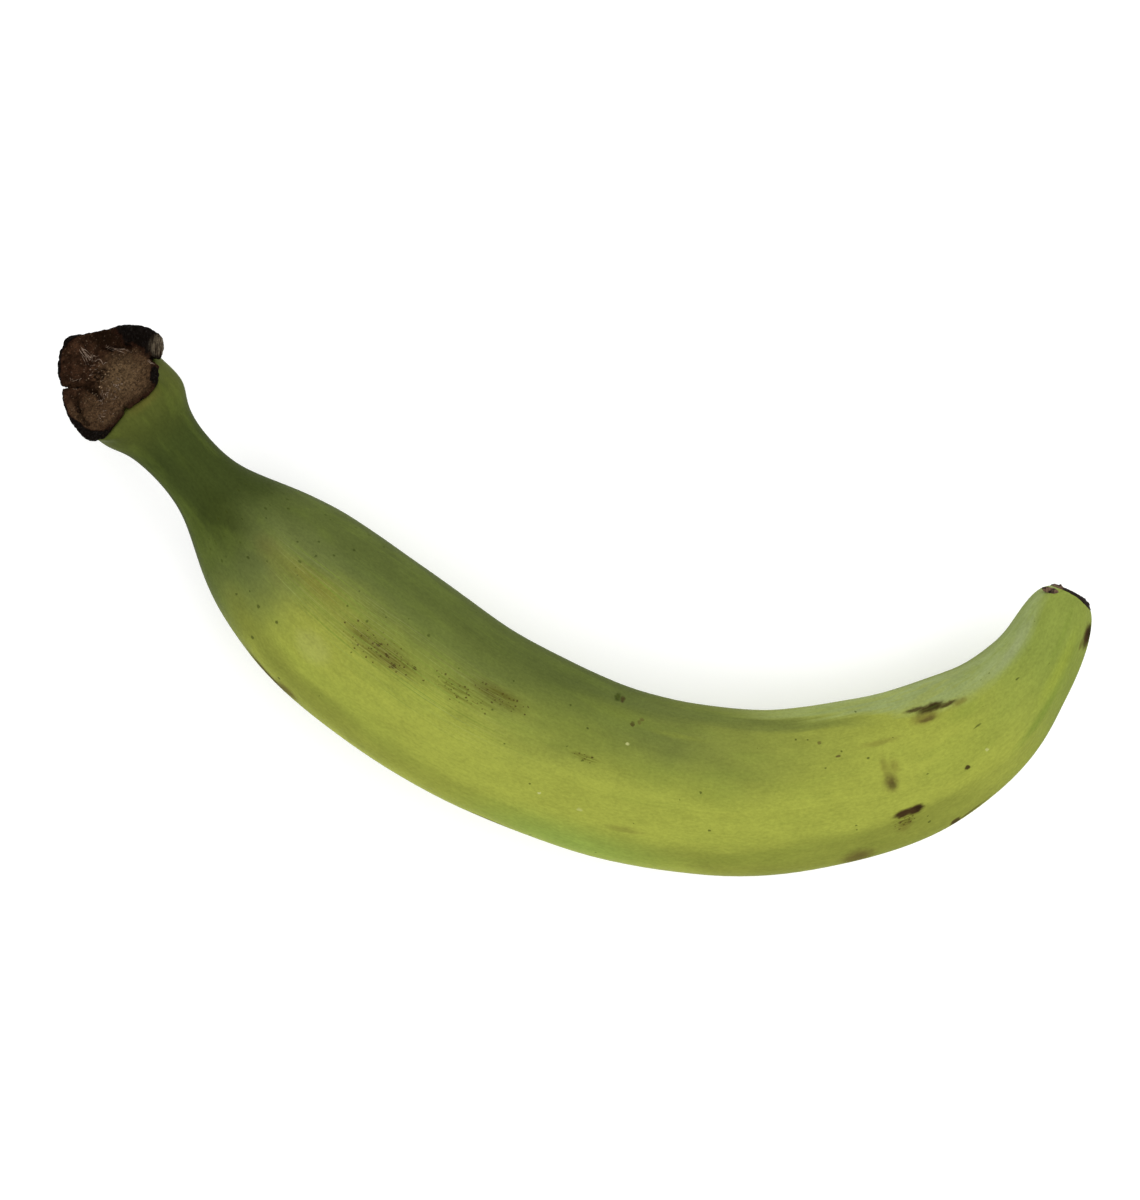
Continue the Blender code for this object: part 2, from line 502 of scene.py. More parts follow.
# %% Cut the notches and remesh the crown
CROWN_VOXEL = 0.32
BLADE_LENGTH = 14.0
NOTCHES = (  # angle and radius where it opens, angle and radius of its end, width
    (213.0, 15.6, 214.0, 11.2, 2.6),
    (98.0, 18.4, 99.0, 13.6, 3.4),
    (46.0, 18.0, 24.0, 10.6, 3.0),
)


def in_plane(angle):
    """The direction on the slanted cut at this angle."""
    turned = math.radians(angle)
    return CUT_SLOPE * math.sin(turned) + Vector((0.0, math.cos(turned), 0.0))


def cut_notch(piece, outer_angle, outer_radius, inner_angle, inner_radius, width):
    """Cuts a wedge that opens at the rim and ends inside, square to the cut."""
    outer = CUT_MIDDLE + in_plane(outer_angle) * outer_radius
    inner = CUT_MIDDLE + in_plane(inner_angle) * inner_radius
    inwards = (inner - outer).normalized()
    sideways = inwards.cross(CUT_FACING)
    turned = Matrix((sideways, inwards, CUT_FACING)).transposed().to_euler()
    length = (inner - outer).length
    bpy.ops.object.select_all(action="DESELECT")
    bpy.ops.mesh.primitive_cylinder_add(
        vertices=3,
        radius=MM,
        depth=BLADE_LENGTH * MM,
        location=(inner - inwards * (length / 1.5)) * MM,
        rotation=turned,
        scale=(width / math.sqrt(3.0), length / 1.5, 1.0),
    )
    blade = bpy.context.object
    apply_modifier(piece, "BOOLEAN", object=blade, operation="DIFFERENCE", solver="EXACT")
    bpy.data.objects.remove(blade)


apply_modifier(crown, "SUBSURF", levels=2, render_levels=2)
for notch in NOTCHES:
    cut_notch(crown, *notch)
apply_modifier(crown, "REMESH", mode="VOXEL", voxel_size=CROWN_VOXEL * MM)
drop_labels(crown)
print("crown faces:", len(crown.data.polygons))

# %% [markdown]
# While it dried the face cracked along three crooked lines, and one corner of the rim stands
# out. A blade can't follow such lines, so vertex groups say how much each corner of the mesh
# takes part: the cork near a crack is sunk, the corner is pulled out, and cloud patterns of
# three sizes make lumps, crumbs and the wrinkles of the rim.

# %% Crack and roughen the crown
CRACKS = (  # corners of each crack: up the slope, across
    ((-7.5, -10.5), (-3.5, -7.3), (1.7, -5.7), (5.5, -5.7)),
    ((-9.1, 2.8), (-6.2, 5.4), (-2.2, 8.2)),
    ((-0.5, -11.0), (5.8, -12.4), (10.6, -12.2)),
)
CRACK_REACH, CRACK_DEPTH = 0.9, 0.8
CORNER_MIDDLE, CORNER_REACH, CORNER_PULL = 262.0, 8.0, 0.8


def face_spot(place):
    """How far up the slope and how far across this place is from the middle of the cut."""
    offset = place / MM - CUT_MIDDLE
    return Vector((offset.dot(CUT_SLOPE), offset.y))


def on_cut(place):
    """Share of the outline reached at this place, and its angle round the cut."""
    up_slope, across = face_spot(place)
    turned = math.degrees(math.atan2(up_slope, across)) % 360.0
    first = int(turned / STEP) % COLUMNS
    part = turned / STEP - int(turned / STEP)
    reach = LOBES[first] * (1.0 - part) + LOBES[(first + 1) % COLUMNS] * part
    return math.hypot(up_slope, across) / reach, turned


def gap_to(spot, line):
    """The distance from this spot to the nearest point of a line of corners."""
    gaps = []
    for start, end in zip(line, line[1:]):
        start, end = Vector(start), Vector(end)
        share = geometry.intersect_point_line(spot, start, end)[1]
        gaps.append((spot - start.lerp(end, min(max(share, 0.0), 1.0))).length)
    return min(gaps)


def crack_depth(corner):
    """1 in the middle of a crack, 0 away from it, and 0 on the outside of the crown."""
    gap = min(gap_to(face_spot(corner.co), line) for line in CRACKS)
    return (1.0 - rise(gap, 0.2, CRACK_REACH)) * rise(corner.normal.dot(CUT_FACING), 0.3, 0.7)


def angle_apart(first, second):
    """The smaller angle between two directions, in degrees."""
    return abs((first - second + 180.0) % 360.0 - 180.0)


def near_angle(turned, middle, reach, full=0.7):
    """1 at this angle round the cut, fading out from this share of the reach to its end."""
    return 1.0 - rise(angle_apart(turned, middle), reach * full, reach)


groups = {name: crown.vertex_groups.new(name=name) for name in ("cork", "cracks", "corner")}
for corner in crown.data.vertices:
    share, turned = on_cut(corner.co)
    facing = corner.normal.dot(CUT_FACING)
    weights = {
        "cork": rise(facing, 0.3, 0.8) * (1.0 - rise(share, 0.84, 0.97)),
        "cracks": crack_depth(corner),
        "corner": near_angle(turned, CORNER_MIDDLE, CORNER_REACH, 0.1) * rise(share, 0.70, 0.98),
    }
    for name, weight in weights.items():
        groups[name].add([corner.index], weight, "REPLACE")
displace(crown, "cracks", -CRACK_DEPTH, group="cracks")
displace(crown, "corner", CORNER_PULL, group="corner")
displace(crown, "cork_lumps", 1.1, 3.2, group="cork")
displace(crown, "cork_crumbs", 0.9, 0.9, group="cork")
displace(crown, "rim_wrinkles", 0.7, 1.6)
note_straight_places(crown)
print("vertex groups of the crown:", [group.name for group in crown.vertex_groups])

# %% [markdown]
# The rim is burnt black, wider in three stretches, and so is the lump. The side that faces
# the fruit stayed brown. Painted shade lies under the lump, where it casts its shadow, in the
# cracks and along the near crust. Both are written on the mesh as values, so that the paint
# follows the real rim.

# %% Note how charred and how shaded each spot of the crown is
LUMP_MIDDLE, LUMP_REACH, LUMP_SPREAD = -4.0, 46.0, 18.0
SOOT_MIDDLE, SOOT_REACH = 318.0, 50.0
BURNS = ((57.0, 11.0, 0.13), (138.0, 30.0, 0.09), (250.0, 40.0, 0.03))  # angle, reach, extra width
NEAR_MIDDLE, NEAR_REACH = 95.0, 62.0


def note_values(piece, name, values):
    """Stores one value for each corner under this name."""
    noted = piece.data.attributes.new(name, "FLOAT", "POINT")
    for note, value in zip(noted.data, values):
        note.value = value


charred, painted_shade_values = [], []
for corner in crown.data.vertices:
    share, turned = on_cut(corner.co)
    outside = 1.0 - rise(corner.normal.dot(CUT_FACING), 0.0, 0.5)
    thick = sum(extra * near_angle(turned, middle, reach, 0.3) for middle, reach, extra in BURNS)
    near = near_angle(turned, NEAR_MIDDLE, NEAR_REACH)
    burnt = max(near_angle(turned, middle, reach, 0.4) for middle, reach, _ in BURNS)
    rim = rise(share, 0.92 - thick, 0.99 - thick) * (1.0 - 0.6 * near * (1.0 - burnt))
    lump_reach = LUMP_REACH + LUMP_SPREAD * rise(share, 0.70, 1.0)
    on_lump = rise(share, 0.54, 0.76) * near_angle(turned, LUMP_MIDDLE, lump_reach, 0.5)
    charred.append(max(outside * (0.75 - 0.5 * near * (1.0 - burnt)), rim, on_lump))
    # Painted shade: under the lump where it casts its shadow, along the near crust, and in the cracks.
    under_lump = rise(share, 0.40, 0.75) * near_angle(turned, SOOT_MIDDLE, SOOT_REACH)
    crust = 0.75 * near * rise(share, 0.80, 0.93)
    painted_shade_values.append(max(under_lump, crust, 0.8 * crack_depth(corner)))
note_values(crown, "char", charred)
note_values(crown, "painted_shade", painted_shade_values)
straight_crown = BVHTree.FromObject(crown, bpy.context.evaluated_depsgraph_get())

# %% [markdown]
# ## Frayed fibres on the cut
#
# The cut stalk isn't clean: pale threads of vascular fibre lie over the cork, most of them in
# a tuft at the far corner, and short broken ends dot the middle. Each thread is a thin curve
# that walks across the face in a few random steps, always resting on the cork below it. All
# are thickened and turned into one mesh. Modelling them by hand would give the same, slower.

# %% Lay the fibres
random.seed(11)
FIBRE_RADIUS = 0.075
FIBRE_STEPS = 6
FIBRE_ARCH = 0.10  # how far its middle lifts off the cork
FIBRE_END = 0.35  # thickness of its ends as a share of the middle
FIBRE_WANDER = 120.0  # degrees of stray that turn one step by one radian
ABOVE_CUT = 15.0
TUFTS = (  # up the slope, across, spread, how many, shortest, longest, heading, how far it strays
    (-15.0, -1.8, 1.2, 8, 4.0, 6.5, 90.0, 10.0),
    (-9.5, -1.4, 1.8, 9, 1.5, 3.0, 70.0, 35.0),
    (-6.0, -2.6, 2.8, 12, 0.5, 1.3, 60.0, 60.0),
    (5.4, -0.6, 2.4, 20, 0.4, 1.1, 60.0, 60.0),
    (5.2, -4.6, 2.2, 22, 0.4, 1.2, 30.0, 60.0),
    (-7.0, -8.0, 2.4, 8, 0.5, 1.4, 40.0, 60.0),
    (11.0, -8.0, 3.2, 12, 0.4, 1.0, 90.0, 60.0),
    (6.5, 9.6, 0.3, 4, 3.0, 4.5, 70.0, 8.0),
    (-10.0, 3.8, 0.4, 4, 7.5, 10.0, 66.0, 2.5),
)


def on_crown(up_slope, across, lift):
    """The place on the cork at this spot of the cut, lifted a little; None past the edge."""
    spot = CUT_MIDDLE + CUT_SLOPE * up_slope + Vector((0.0, across, 0.0))
    hit = straight_crown.ray_cast((spot + CUT_FACING * ABOVE_CUT) * MM, -CUT_FACING, 0.02)[0]
    return None if hit is None else hit + CUT_FACING * (lift * MM)


threads = bpy.data.curves.new("crown_fibres", "CURVE")
threads.dimensions = "3D"
threads.bevel_depth = FIBRE_RADIUS * MM
threads.bevel_resolution = 1
threads.use_fill_caps = True
for middle_slope, middle_across, spread, count, shortest, longest, heading, stray in TUFTS:
    for _ in range(count):
        spot = [random.gauss(middle_slope, spread / 2), random.gauss(middle_across, spread / 2)]
        direction = math.radians(heading + random.gauss(0.0, stray))
        pace = random.uniform(shortest, longest) / FIBRE_STEPS
        places, widths = [], []
        for step in range(FIBRE_STEPS + 1):
            middle_share = math.sin(math.pi * (step + 0.4) / (FIBRE_STEPS + 0.8))
            places.append(on_crown(*spot, FIBRE_ARCH * middle_share))
            widths.append(FIBRE_END + (1.0 - FIBRE_END) * middle_share)
            direction += random.gauss(0.0, stray / FIBRE_WANDER)
            spot = [spot[0] + pace * math.sin(direction), spot[1] + pace * math.cos(direction)]
        if None in places:
            continue
        thread = threads.splines.new("POLY")
        thread.points.add(FIBRE_STEPS)
        for point, place, width in zip(thread.points, places, widths):
            point.co = (*place, 1.0)
            point.radius = width
fibres = bpy.data.objects.new("crown_fibres", threads)
bpy.context.scene.collection.objects.link(fibres)
only(fibres)
bpy.ops.object.convert(target="MESH")
fibres = bpy.context.object
note_straight_places(fibres)
print("fibres:", len(threads.splines), "faces:", len(fibres.data.polygons))

# %% [markdown]
# ## The flower's scar
#
# The flower dried and fell from the tip. It left a thin black scab over the blunt end, a
# thicker brown crust at its inner corner and a tiny stump. The scab starts as a flat disc.
# Each of its corners is moved straight back until it touches the tip, so that it drapes over
# the end like a cap. Thickened, joined with a flattened ball and a small cone, and remeshed,
# the three become one crumbly crust.

# %% Scab, crust and stump
SCAB_RADIUS, SCAB_HEIGHT = 5.6, 19.8
SCAB_RINGS = ((1.0, 0.02), (0.86, 0.24), (0.62, 0.26), (0.32, 0.15))  # share, height above the peel
SCAB_UNEVEN = (
    -0.8, -0.7, -0.6, -0.9, -1.3, -1.4, -1.4, -1.1, -0.6, 0.3, 1.0, 1.1,
    0.7, 0.2, -0.2, 0.3, 0.6, 0.1, -0.2, 0.3, 0.5, 0.0, -0.2, -0.6,
)
SCAB_THICKNESS, SCAB_VOXEL = 0.55, 0.24
BEYOND_TIP = 330.0
DISC_PLACE = Vector((302.0, 0.0, SCAB_HEIGHT))
CRUST_OVER = Vector((299.5, 4.6, 60.0))
STUMP_PLACE = Vector((301.0, 3.4, 21.6))


def on_tip(column, share, lift):
    """The place on the blunt tip under this corner of the disc."""
    angle = math.radians(column * STEP)
    radius = (SCAB_RADIUS + SCAB_UNEVEN[column]) * share
    start = Vector((BEYOND_TIP, radius * math.cos(angle), SCAB_HEIGHT + radius * math.sin(angle)))
    hit = straight_skin.ray_cast(start * MM, Vector((-1.0, 0.0, 0.0)))[0]
    return hit + Vector((lift * MM, 0.0, 0.0))


bpy.ops.object.select_all(action="DESELECT")
bpy.ops.mesh.primitive_circle_add(
    vertices=COLUMNS,
    radius=SCAB_RADIUS * MM,
    fill_type="NGON",
    location=DISC_PLACE * MM,
    rotation=(0.0, math.radians(90.0), 0.0),
)
scar = bpy.context.object
begin_cage(scar, "tip_scar", DISC_PLACE)
for number, (share, lift) in enumerate(SCAB_RINGS):
    if number:
        pick_ring(scar, number - 1)
        bpy.ops.mesh.extrude_region_move()
        label_ring(scar, number)
    draw_ring(scar, number, lambda column: on_tip(column, share, lift))
bpy.ops.object.mode_set(mode="OBJECT")
apply_modifier(scar, "SOLIDIFY", thickness=SCAB_THICKNESS * MM, offset=0.0)

bpy.ops.object.select_all(action="DESELECT")
bpy.ops.mesh.primitive_uv_sphere_add(
    segments=16,
    ring_count=10,
    radius=MM,
    location=straight_skin.ray_cast(CRUST_OVER * MM, Vector((0.0, 0.0, -1.0)))[0],
    rotation=(math.radians(-20.0), math.radians(40.0), math.radians(-8.0)),
    scale=(0.9, 2.6, 0.6),
)
crust = bpy.context.object
bpy.ops.object.select_all(action="DESELECT")
bpy.ops.mesh.primitive_cone_add(
    vertices=10,
    radius1=0.7 * MM,
    radius2=0.35 * MM,
    depth=2.6 * MM,
    location=STUMP_PLACE * MM,
    rotation=(0.0, math.radians(80.0), math.radians(-28.0)),
)
stump = bpy.context.object
only(scar, crust, stump)
bpy.ops.object.join()
apply_modifier(scar, "REMESH", mode="VOXEL", voxel_size=SCAB_VOXEL * MM)
displace(scar, "scab_crumbs", 0.45, 0.8)
drop_labels(scar)
note_straight_places(scar)
print("scar faces:", len(scar.data.polygons))

# %% [markdown]
# ## Bend along the middle line
#
# The guide is a smooth curve through ten points of the fruit's middle line, seen from above.
# The Curve modifier carries every piece along it, so they all stay together. The neck end of
# the guide is straight, which is why the crown keeps its form.

# %% Guide curve and bending
MIDDLE_LINE = (
    (-117.4, 58.3), (-92.5, 29.4), (-71.4, 7.2), (-48.0, -12.6), (-15.2, -33.1),
    (28.9, -46.9), (67.1, -45.4), (96.2, -34.5), (113.2, -19.1), (124.4, 2.7),
)
GUIDE_STEPS = 48

line = bpy.data.curves.new("middle_line", "CURVE")
line.dimensions = "3D"
line.twist_mode = "Z_UP"
line.resolution_u = GUIDE_STEPS
spline = line.splines.new("BEZIER")
spline.bezier_points.add(len(MIDDLE_LINE) - 1)
for knot, (x, y) in zip(spline.bezier_points, MIDDLE_LINE):
    knot.co = Vector((x, y, 0.0)) * MM
    knot.handle_left_type = "AUTO"
    knot.handle_right_type = "AUTO"
guide = bpy.data.objects.new("middle_line", line)
bpy.context.scene.collection.objects.link(guide)

PIECES = {skin: "peel", crown: "dried_crown", fibres: "dried_crown", scar: "dried_crown"}
for piece in PIECES:
    apply_modifier(piece, "CURVE", object=guide, deform_axis="POS_X")
bpy.data.objects.remove(guide)

# The shaved belly becomes a true flat to rest on.
only(skin)
bpy.ops.object.mode_set(mode="EDIT")
pick(skin, lambda corner: corner.co.z < 0.0)
bpy.ops.transform.resize(value=(1.0, 1.0, 0.0), center_override=(0.0, 0.0, 0.0))
bpy.ops.object.mode_set(mode="OBJECT")
for piece in PIECES:
    only(piece)
    bpy.ops.object.shade_smooth()

# %% [markdown]
# ## Paint tools
#
# Every colour below is procedural. A few helpers keep the node trees readable: `wire` takes
# either a number or another node's output, `ramp` turns a value into a soft mask, `between`
# makes a mask for a stretch with two soft ends, and `blend` lays one colour over another
# through a mask.

# %% Node helpers


def wire(tree, value, socket):
    """Links value to the socket if it comes from a node, or else types it in."""
    if isinstance(value, bpy.types.NodeSocket):
        tree.links.new(value, socket)
    else:
        socket.default_value = value


def node(tree, kind, inputs=None, **settings):
    """Adds a node, sets its options and wires its inputs by name or number."""
    made = tree.nodes.new(kind)
    for name, value in settings.items():
        setattr(made, name, value)
    for name, value in (inputs or {}).items():
        wire(tree, value, made.inputs[name])
    return made


def calculate(tree, operation, *values):
    """One Math node."""
    inputs = dict(enumerate(values))
    return node(tree, "ShaderNodeMath", inputs, operation=operation).outputs[0]


def ramp(tree, value, low, high):
    """0 at low, 1 at high, with a smooth change between. low may be the larger one."""
    inputs = {"Value": value, "From Min": low, "From Max": high}
    return node(tree, "ShaderNodeMapRange", inputs, interpolation_type="SMOOTHSTEP").outputs[0]


def product(tree, *masks):
    """All the masks multiplied."""
    total = masks[0]
    for mask in masks[1:]:
        total = calculate(tree, "MULTIPLY", total, mask)
    return total


def between(tree, value, low, full, ends, gone):
    """A stretch with soft ends: 0 at low, 1 from full to ends and 0 again at gone."""
    return product(tree, ramp(tree, value, low, full), ramp(tree, value, gone, ends))


def strongest(tree, masks):
    """The highest of all the masks."""
    top = masks[0]
    for mask in masks[1:]:
        top = calculate(tree, "MAXIMUM", top, mask)
    return top


def opaque(colour):
    """A typed-in colour needs its alpha; one from a node is left as it is."""
    return (*colour, 1.0) if isinstance(colour, tuple) else colour


def blend(tree, mask, under, over):
    """Lays the colour over on the colour under, where the mask is 1."""
    inputs = {0: mask, 6: opaque(under), 7: opaque(over)}
    return node(tree, "ShaderNodeMix", inputs, data_type="RGBA").outputs[2]


def new_paint(name):
    """A new material with its node tree and its shader."""
    paint = bpy.data.materials.new(name)
    paint.use_nodes = True
    return paint, paint.node_tree, paint.node_tree.nodes["Principled BSDF"]


def new_group(name, inputs, outputs):
    """An empty shader group with these sockets: (name, kind) for each."""
    group = bpy.data.node_groups.new(name, "ShaderNodeTree")
    for side, sockets in (("INPUT", inputs), ("OUTPUT", outputs)):
        for socket, kind in sockets:
            group.interface.new_socket(socket, in_out=side, socket_type="NodeSocket" + kind)
    return group, group.nodes.new("NodeGroupInput").outputs, group.nodes.new("NodeGroupOutput").inputs


def grouped(tree, group, **inputs):
    """Places a group in a tree, wires its inputs and gives its outputs."""
    made = tree.nodes.new("ShaderNodeGroup")
    made.node_tree = group
    for name, value in inputs.items():
        wire(tree, value, made.inputs[name])
    return made.outputs


# %% [markdown]
# ## Where a spot is on the fruit
#
# The paint should follow the fruit, not the room. This group reads the stored `straight`
# places and gives the distance from the crown in millimetres, the angle round the fruit
# (0 on top, 90 on the hollow side, -90 on the outer side) and the turn away from the hollow
# side, which is the same above and below.

# %% Group: place on the fruit
DEGREES = 180.0 / math.pi

place_group, _, place_out = new_group(
    "place_on_fruit",
    (),
    (("Place", "Vector"), ("Along", "Float"), ("Around", "Float"), ("Turn", "Float")),
)
noted = node(place_group, "ShaderNodeAttribute", attribute_name="straight").outputs["Vector"]
parts = node(place_group, "ShaderNodeSeparateXYZ", {0: noted}).outputs
around = calculate(place_group, "ARCTAN2", parts["Y"], parts["Z"])
turn = calculate(place_group, "ARCTAN2", parts["Z"], parts["Y"])
wire(place_group, noted, place_out["Place"])
wire(place_group, parts["X"], place_out["Along"])
wire(place_group, product(place_group, around, DEGREES), place_out["Around"])
turned = product(place_group, turn, DEGREES)
wire(place_group, calculate(place_group, "ABSOLUTE", turned), place_out["Turn"])

# %% [markdown]
# ## Fibres, dots and patches
#
# Three effects serve all the finishes. `streaked_noise` is noise drawn out along the fruit,
# for fibres and slow colour drift. `scattered_dots` gives one round dot in a share of the
# cells of a flat Voronoi pattern, as pores and flyspecks are scattered. `soft_patch` is one
# bruise, scar or spot of a given place and size.

# %% Group: streaked noise
noise_group, noise_in, noise_out = new_group(
    "streaked_noise",
    (("Place", "Vector"), ("Length", "Float"), ("Width", "Float"), ("Detail", "Float")),
    (("Value", "Float"),),
)
along_scale = calculate(noise_group, "DIVIDE", 1.0, noise_in["Length"])
across_scale = calculate(noise_group, "DIVIDE", 1.0, noise_in["Width"])
inputs = {0: along_scale, 1: across_scale, 2: across_scale}
scales = node(noise_group, "ShaderNodeCombineXYZ", inputs).outputs[0]
inputs = {0: noise_in["Place"], 1: scales}
scaled = node(noise_group, "ShaderNodeVectorMath", inputs, operation="MULTIPLY").outputs[0]
inputs = {"Vector": scaled, "Scale": 1.0, "Detail": noise_in["Detail"], "Roughness": 0.55}
noise = node(noise_group, "ShaderNodeTexNoise", inputs).outputs["Fac"]
wire(noise_group, noise, noise_out["Value"])


def streaked(tree, place, length, width, detail):
    """Noise of this size in millimetres along and across the fruit."""
    inputs = {"Place": place, "Length": length, "Width": width, "Detail": detail}
    return grouped(tree, noise_group, **inputs)["Value"]


# %% Group: scattered dots
DOT_SMALL, DOT_LARGE = 0.12, 0.34
DOT_UNEVEN = 0.5

dots_group, dots_in, dots_out = new_group(
    "scattered_dots",
    (("Place", "Vector"), ("Spacing", "Float"), ("Share", "Float")),
    (("Mask", "Float"),),
)
density = calculate(dots_group, "DIVIDE", 1.0, dots_in["Spacing"])
inputs = {"Vector": dots_in["Place"], "Scale": 2.2}
uneven = node(dots_group, "ShaderNodeTexNoise", inputs).outputs["Color"]
inputs = {0: uneven, 1: (DOT_UNEVEN, DOT_UNEVEN, DOT_UNEVEN), 2: dots_in["Place"]}
pushed = node(dots_group, "ShaderNodeVectorMath", inputs, operation="MULTIPLY_ADD").outputs[0]
inputs = {"Vector": pushed, "Scale": density}
cells = node(dots_group, "ShaderNodeTexVoronoi", inputs, voronoi_dimensions="2D").outputs
lottery = node(dots_group, "ShaderNodeSeparateColor", {0: cells["Color"]}).outputs
chosen = calculate(dots_group, "LESS_THAN", lottery[0], dots_in["Share"])
dot_size = calculate(dots_group, "MULTIPLY_ADD", lottery[1], DOT_LARGE - DOT_SMALL, DOT_SMALL)
half_size = product(dots_group, dot_size, 0.5)
round_dot = ramp(dots_group, cells["Distance"], dot_size, half_size)
wire(dots_group, product(dots_group, chosen, round_dot), dots_out["Mask"])


def dots(tree, place, spacing, share):
    """Dots this far apart, in this share of the cells."""
    inputs = {"Place": place, "Spacing": spacing, "Share": share}
    return grouped(tree, dots_group, **inputs)["Mask"]


# %% Group: soft patch
PATCH_INPUTS = (
    "Along", "Around", "Centre Along", "Centre Around", "Half Length", "Half Width", "Softness",
)

patch_group, patch_in, patch_out = new_group(
    "soft_patch",
    [(name, "Float") for name in PATCH_INPUTS],
    (("Mask", "Float"),),
)
squares = []
for way, half in (("Along", "Half Length"), ("Around", "Half Width")):
    off = calculate(patch_group, "SUBTRACT", patch_in[way], patch_in["Centre " + way])
    share = calculate(patch_group, "DIVIDE", off, patch_in[half])
    squares.append(product(patch_group, share, share))
distance = calculate(patch_group, "SQRT", calculate(patch_group, "ADD", *squares))
inner_edge = calculate(patch_group, "SUBTRACT", 1.0, patch_in["Softness"])
outer_edge = calculate(patch_group, "MULTIPLY_ADD", patch_in["Softness"], 0.5, 1.0)
wire(patch_group, ramp(patch_group, distance, outer_edge, inner_edge), patch_out["Mask"])
print("paint groups:", [group.name for group in bpy.data.node_groups])


def patch(tree, *values):
    """One soft patch. Its values come in the order of PATCH_INPUTS."""
    inputs = dict(zip(PATCH_INPUTS, values))
    return grouped(tree, patch_group, **inputs)["Mask"]


# %% [markdown]
# ## The peel
#
# A green plantain isn't one green. The neck is darkest, the hollow side stays dark green for
# half of the length, the belly has begun to turn yellow-green, and above the inner ridge the
# peel carries a pale waxy bloom, painted paler still as a sheen. These are broad soft masks over
# a few pigments, and some of them paint shade where the peel turns from the light. Then come
# the fine things: fibres that run lengthwise, a cloudy mottle, and the fruit's own scars.

# %% Pigments
DARK_NECK = (0.036, 0.048, 0.0105)
FLARE_OLIVE = (0.073, 0.083, 0.0165)
SHOULDER_GREEN = (0.093, 0.114, 0.030)
# The hollow green is partly the darker pigment of the hollow side and partly painted shade towards its
# edge.
HOLLOW_GREEN_AND_SHADE = (0.070, 0.088, 0.020)
BELLY_YELLOW_GREEN = (0.262, 0.286, 0.046)
TIP_GREEN = (0.190, 0.232, 0.044)
# The rim olive is partly the ridge's darker pigment and partly painted shade beside the ridge.
RIM_OLIVE_AND_SHADE = (0.158, 0.174, 0.030)
# The pale bloom is partly the waxy coat and partly a painted sheen, the reflection of the bright room.
PALE_BLOOM_AND_SHEEN = (0.230, 0.275, 0.100)
# Painted shade for the underside.
UNDERSIDE_SHADE = (0.120, 0.150, 0.020)
# Painted shade for the flanks that curve away from the light.
FLANK_SHADE = (0.042, 0.051, 0.014)
FRESH_GREEN = (0.175, 0.300, 0.060)

PIGMENTS = {
    "ochre": (0.165, 0.145, 0.020),
    "tan": (0.130, 0.108, 0.022),
    "brown": (0.075, 0.050, 0.016),
    "olive": (0.086, 0.082, 0.018),
    "black": (0.014, 0.008, 0.004),
    # Pale wax with a painted sheen, for the tip's inner facet.
    "bloom": (0.270, 0.305, 0.150),
    "bark": (0.037, 0.020, 0.008),
    "speck": (0.050, 0.034, 0.009),
    "bronze": (0.070, 0.064, 0.007),
    "dark green": (0.032, 0.042, 0.006),
    "green": (0.150, 0.200, 0.030),
    "cream": (0.420, 0.430, 0.180),
    "fresh green": FRESH_GREEN,
    "yellow": (0.270, 0.310, 0.035),
}

# %% Broad pigment masks, with painted shade towards the hollow edge
peel, tree, shader = new_paint("green_peel")
where = grouped(tree, place_group)
place, along, around, turn = [where[name] for name in ("Place", "Along", "Around", "Turn")]


def streaks(length, width, detail=2.0):
    """Streaked noise on the fruit itself."""
    return streaked(tree, place, length, width, detail)


def shifted(value, noise, amount):
    """The value, pushed both ways by a noise, so that no border runs straight."""
    wobble = calculate(tree, "MULTIPLY_ADD", noise, 2.0 * amount, -amount)
    return calculate(tree, "ADD", value, wobble)


drift = streaks(26.0, 15.0, 3.0)
loose_along = shifted(along, drift, 9.0)
loose_turn = shifted(turn, drift, 16.0)

shoulder = ramp(tree, loose_along, 46.0, 66.0)
belly = ramp(tree, loose_along, 61.0, 84.0)
hollow = product(tree, ramp(tree, loose_turn, 112.0, 52.0), ramp(tree, loose_along, 250.0, 145.0))
not_hollow = calculate(tree, "SUBTRACT", 1.0, hollow)
colour = blend(tree, shoulder, DARK_NECK, SHOULDER_GREEN)
colour = blend(tree, product(tree, belly, not_hollow), colour, BELLY_YELLOW_GREEN)
# Darker green towards the hollow edge: partly pigment, partly painted shade as the peel turns away.
hollow_edge = ramp(tree, turn, 66.0, 28.0)
hollow_edge = product(tree, hollow_edge, shoulder, ramp(tree, along, 190.0, 140.0), 0.8)
colour = blend(tree, hollow_edge, colour, HOLLOW_GREEN_AND_SHADE)
flare = product(tree, ramp(tree, along, 28.0, 13.0), 0.8)
colour = blend(tree, flare, colour, FLARE_OLIVE)
colour = blend(tree, ramp(tree, loose_along, 252.0, 285.0), colour, TIP_GREEN)

# %% [markdown]
# The inner ridge winds round the fruit towards the tip. Above it lies the pale bloom, painted
# paler as a sheen of the bright room, and just below it a narrow darker line, the ridge's
# painted shade. Both follow the ridge, so they are measured from it.

# %% Bloom and painted sheen above the winding ridge, and the painted shade along it
RIDGE_TURN = 14.0
TIP_STARTS, TIP_ENDS, UNWINDING = 286.0, 302.0, 24.0

wound = ramp(tree, along, WINDING_STARTS, WINDING_ENDS)
unwound = ramp(tree, along, TIP_STARTS, TIP_ENDS)
ridge_turn = calculate(tree, "MULTIPLY_ADD", wound, WINDING, RIDGE_TURN)
ridge_turn = calculate(tree, "MULTIPLY_ADD", unwound, -UNWINDING, ridge_turn)
past_ridge = calculate(tree, "SUBTRACT", turn, ridge_turn)
past_ridge = shifted(past_ridge, streaks(30.0, 2.5), 9.0)
bloom_border = calculate(tree, "MULTIPLY_ADD", ramp(tree, along, 235.0, 262.0), 10.0, 5.0)

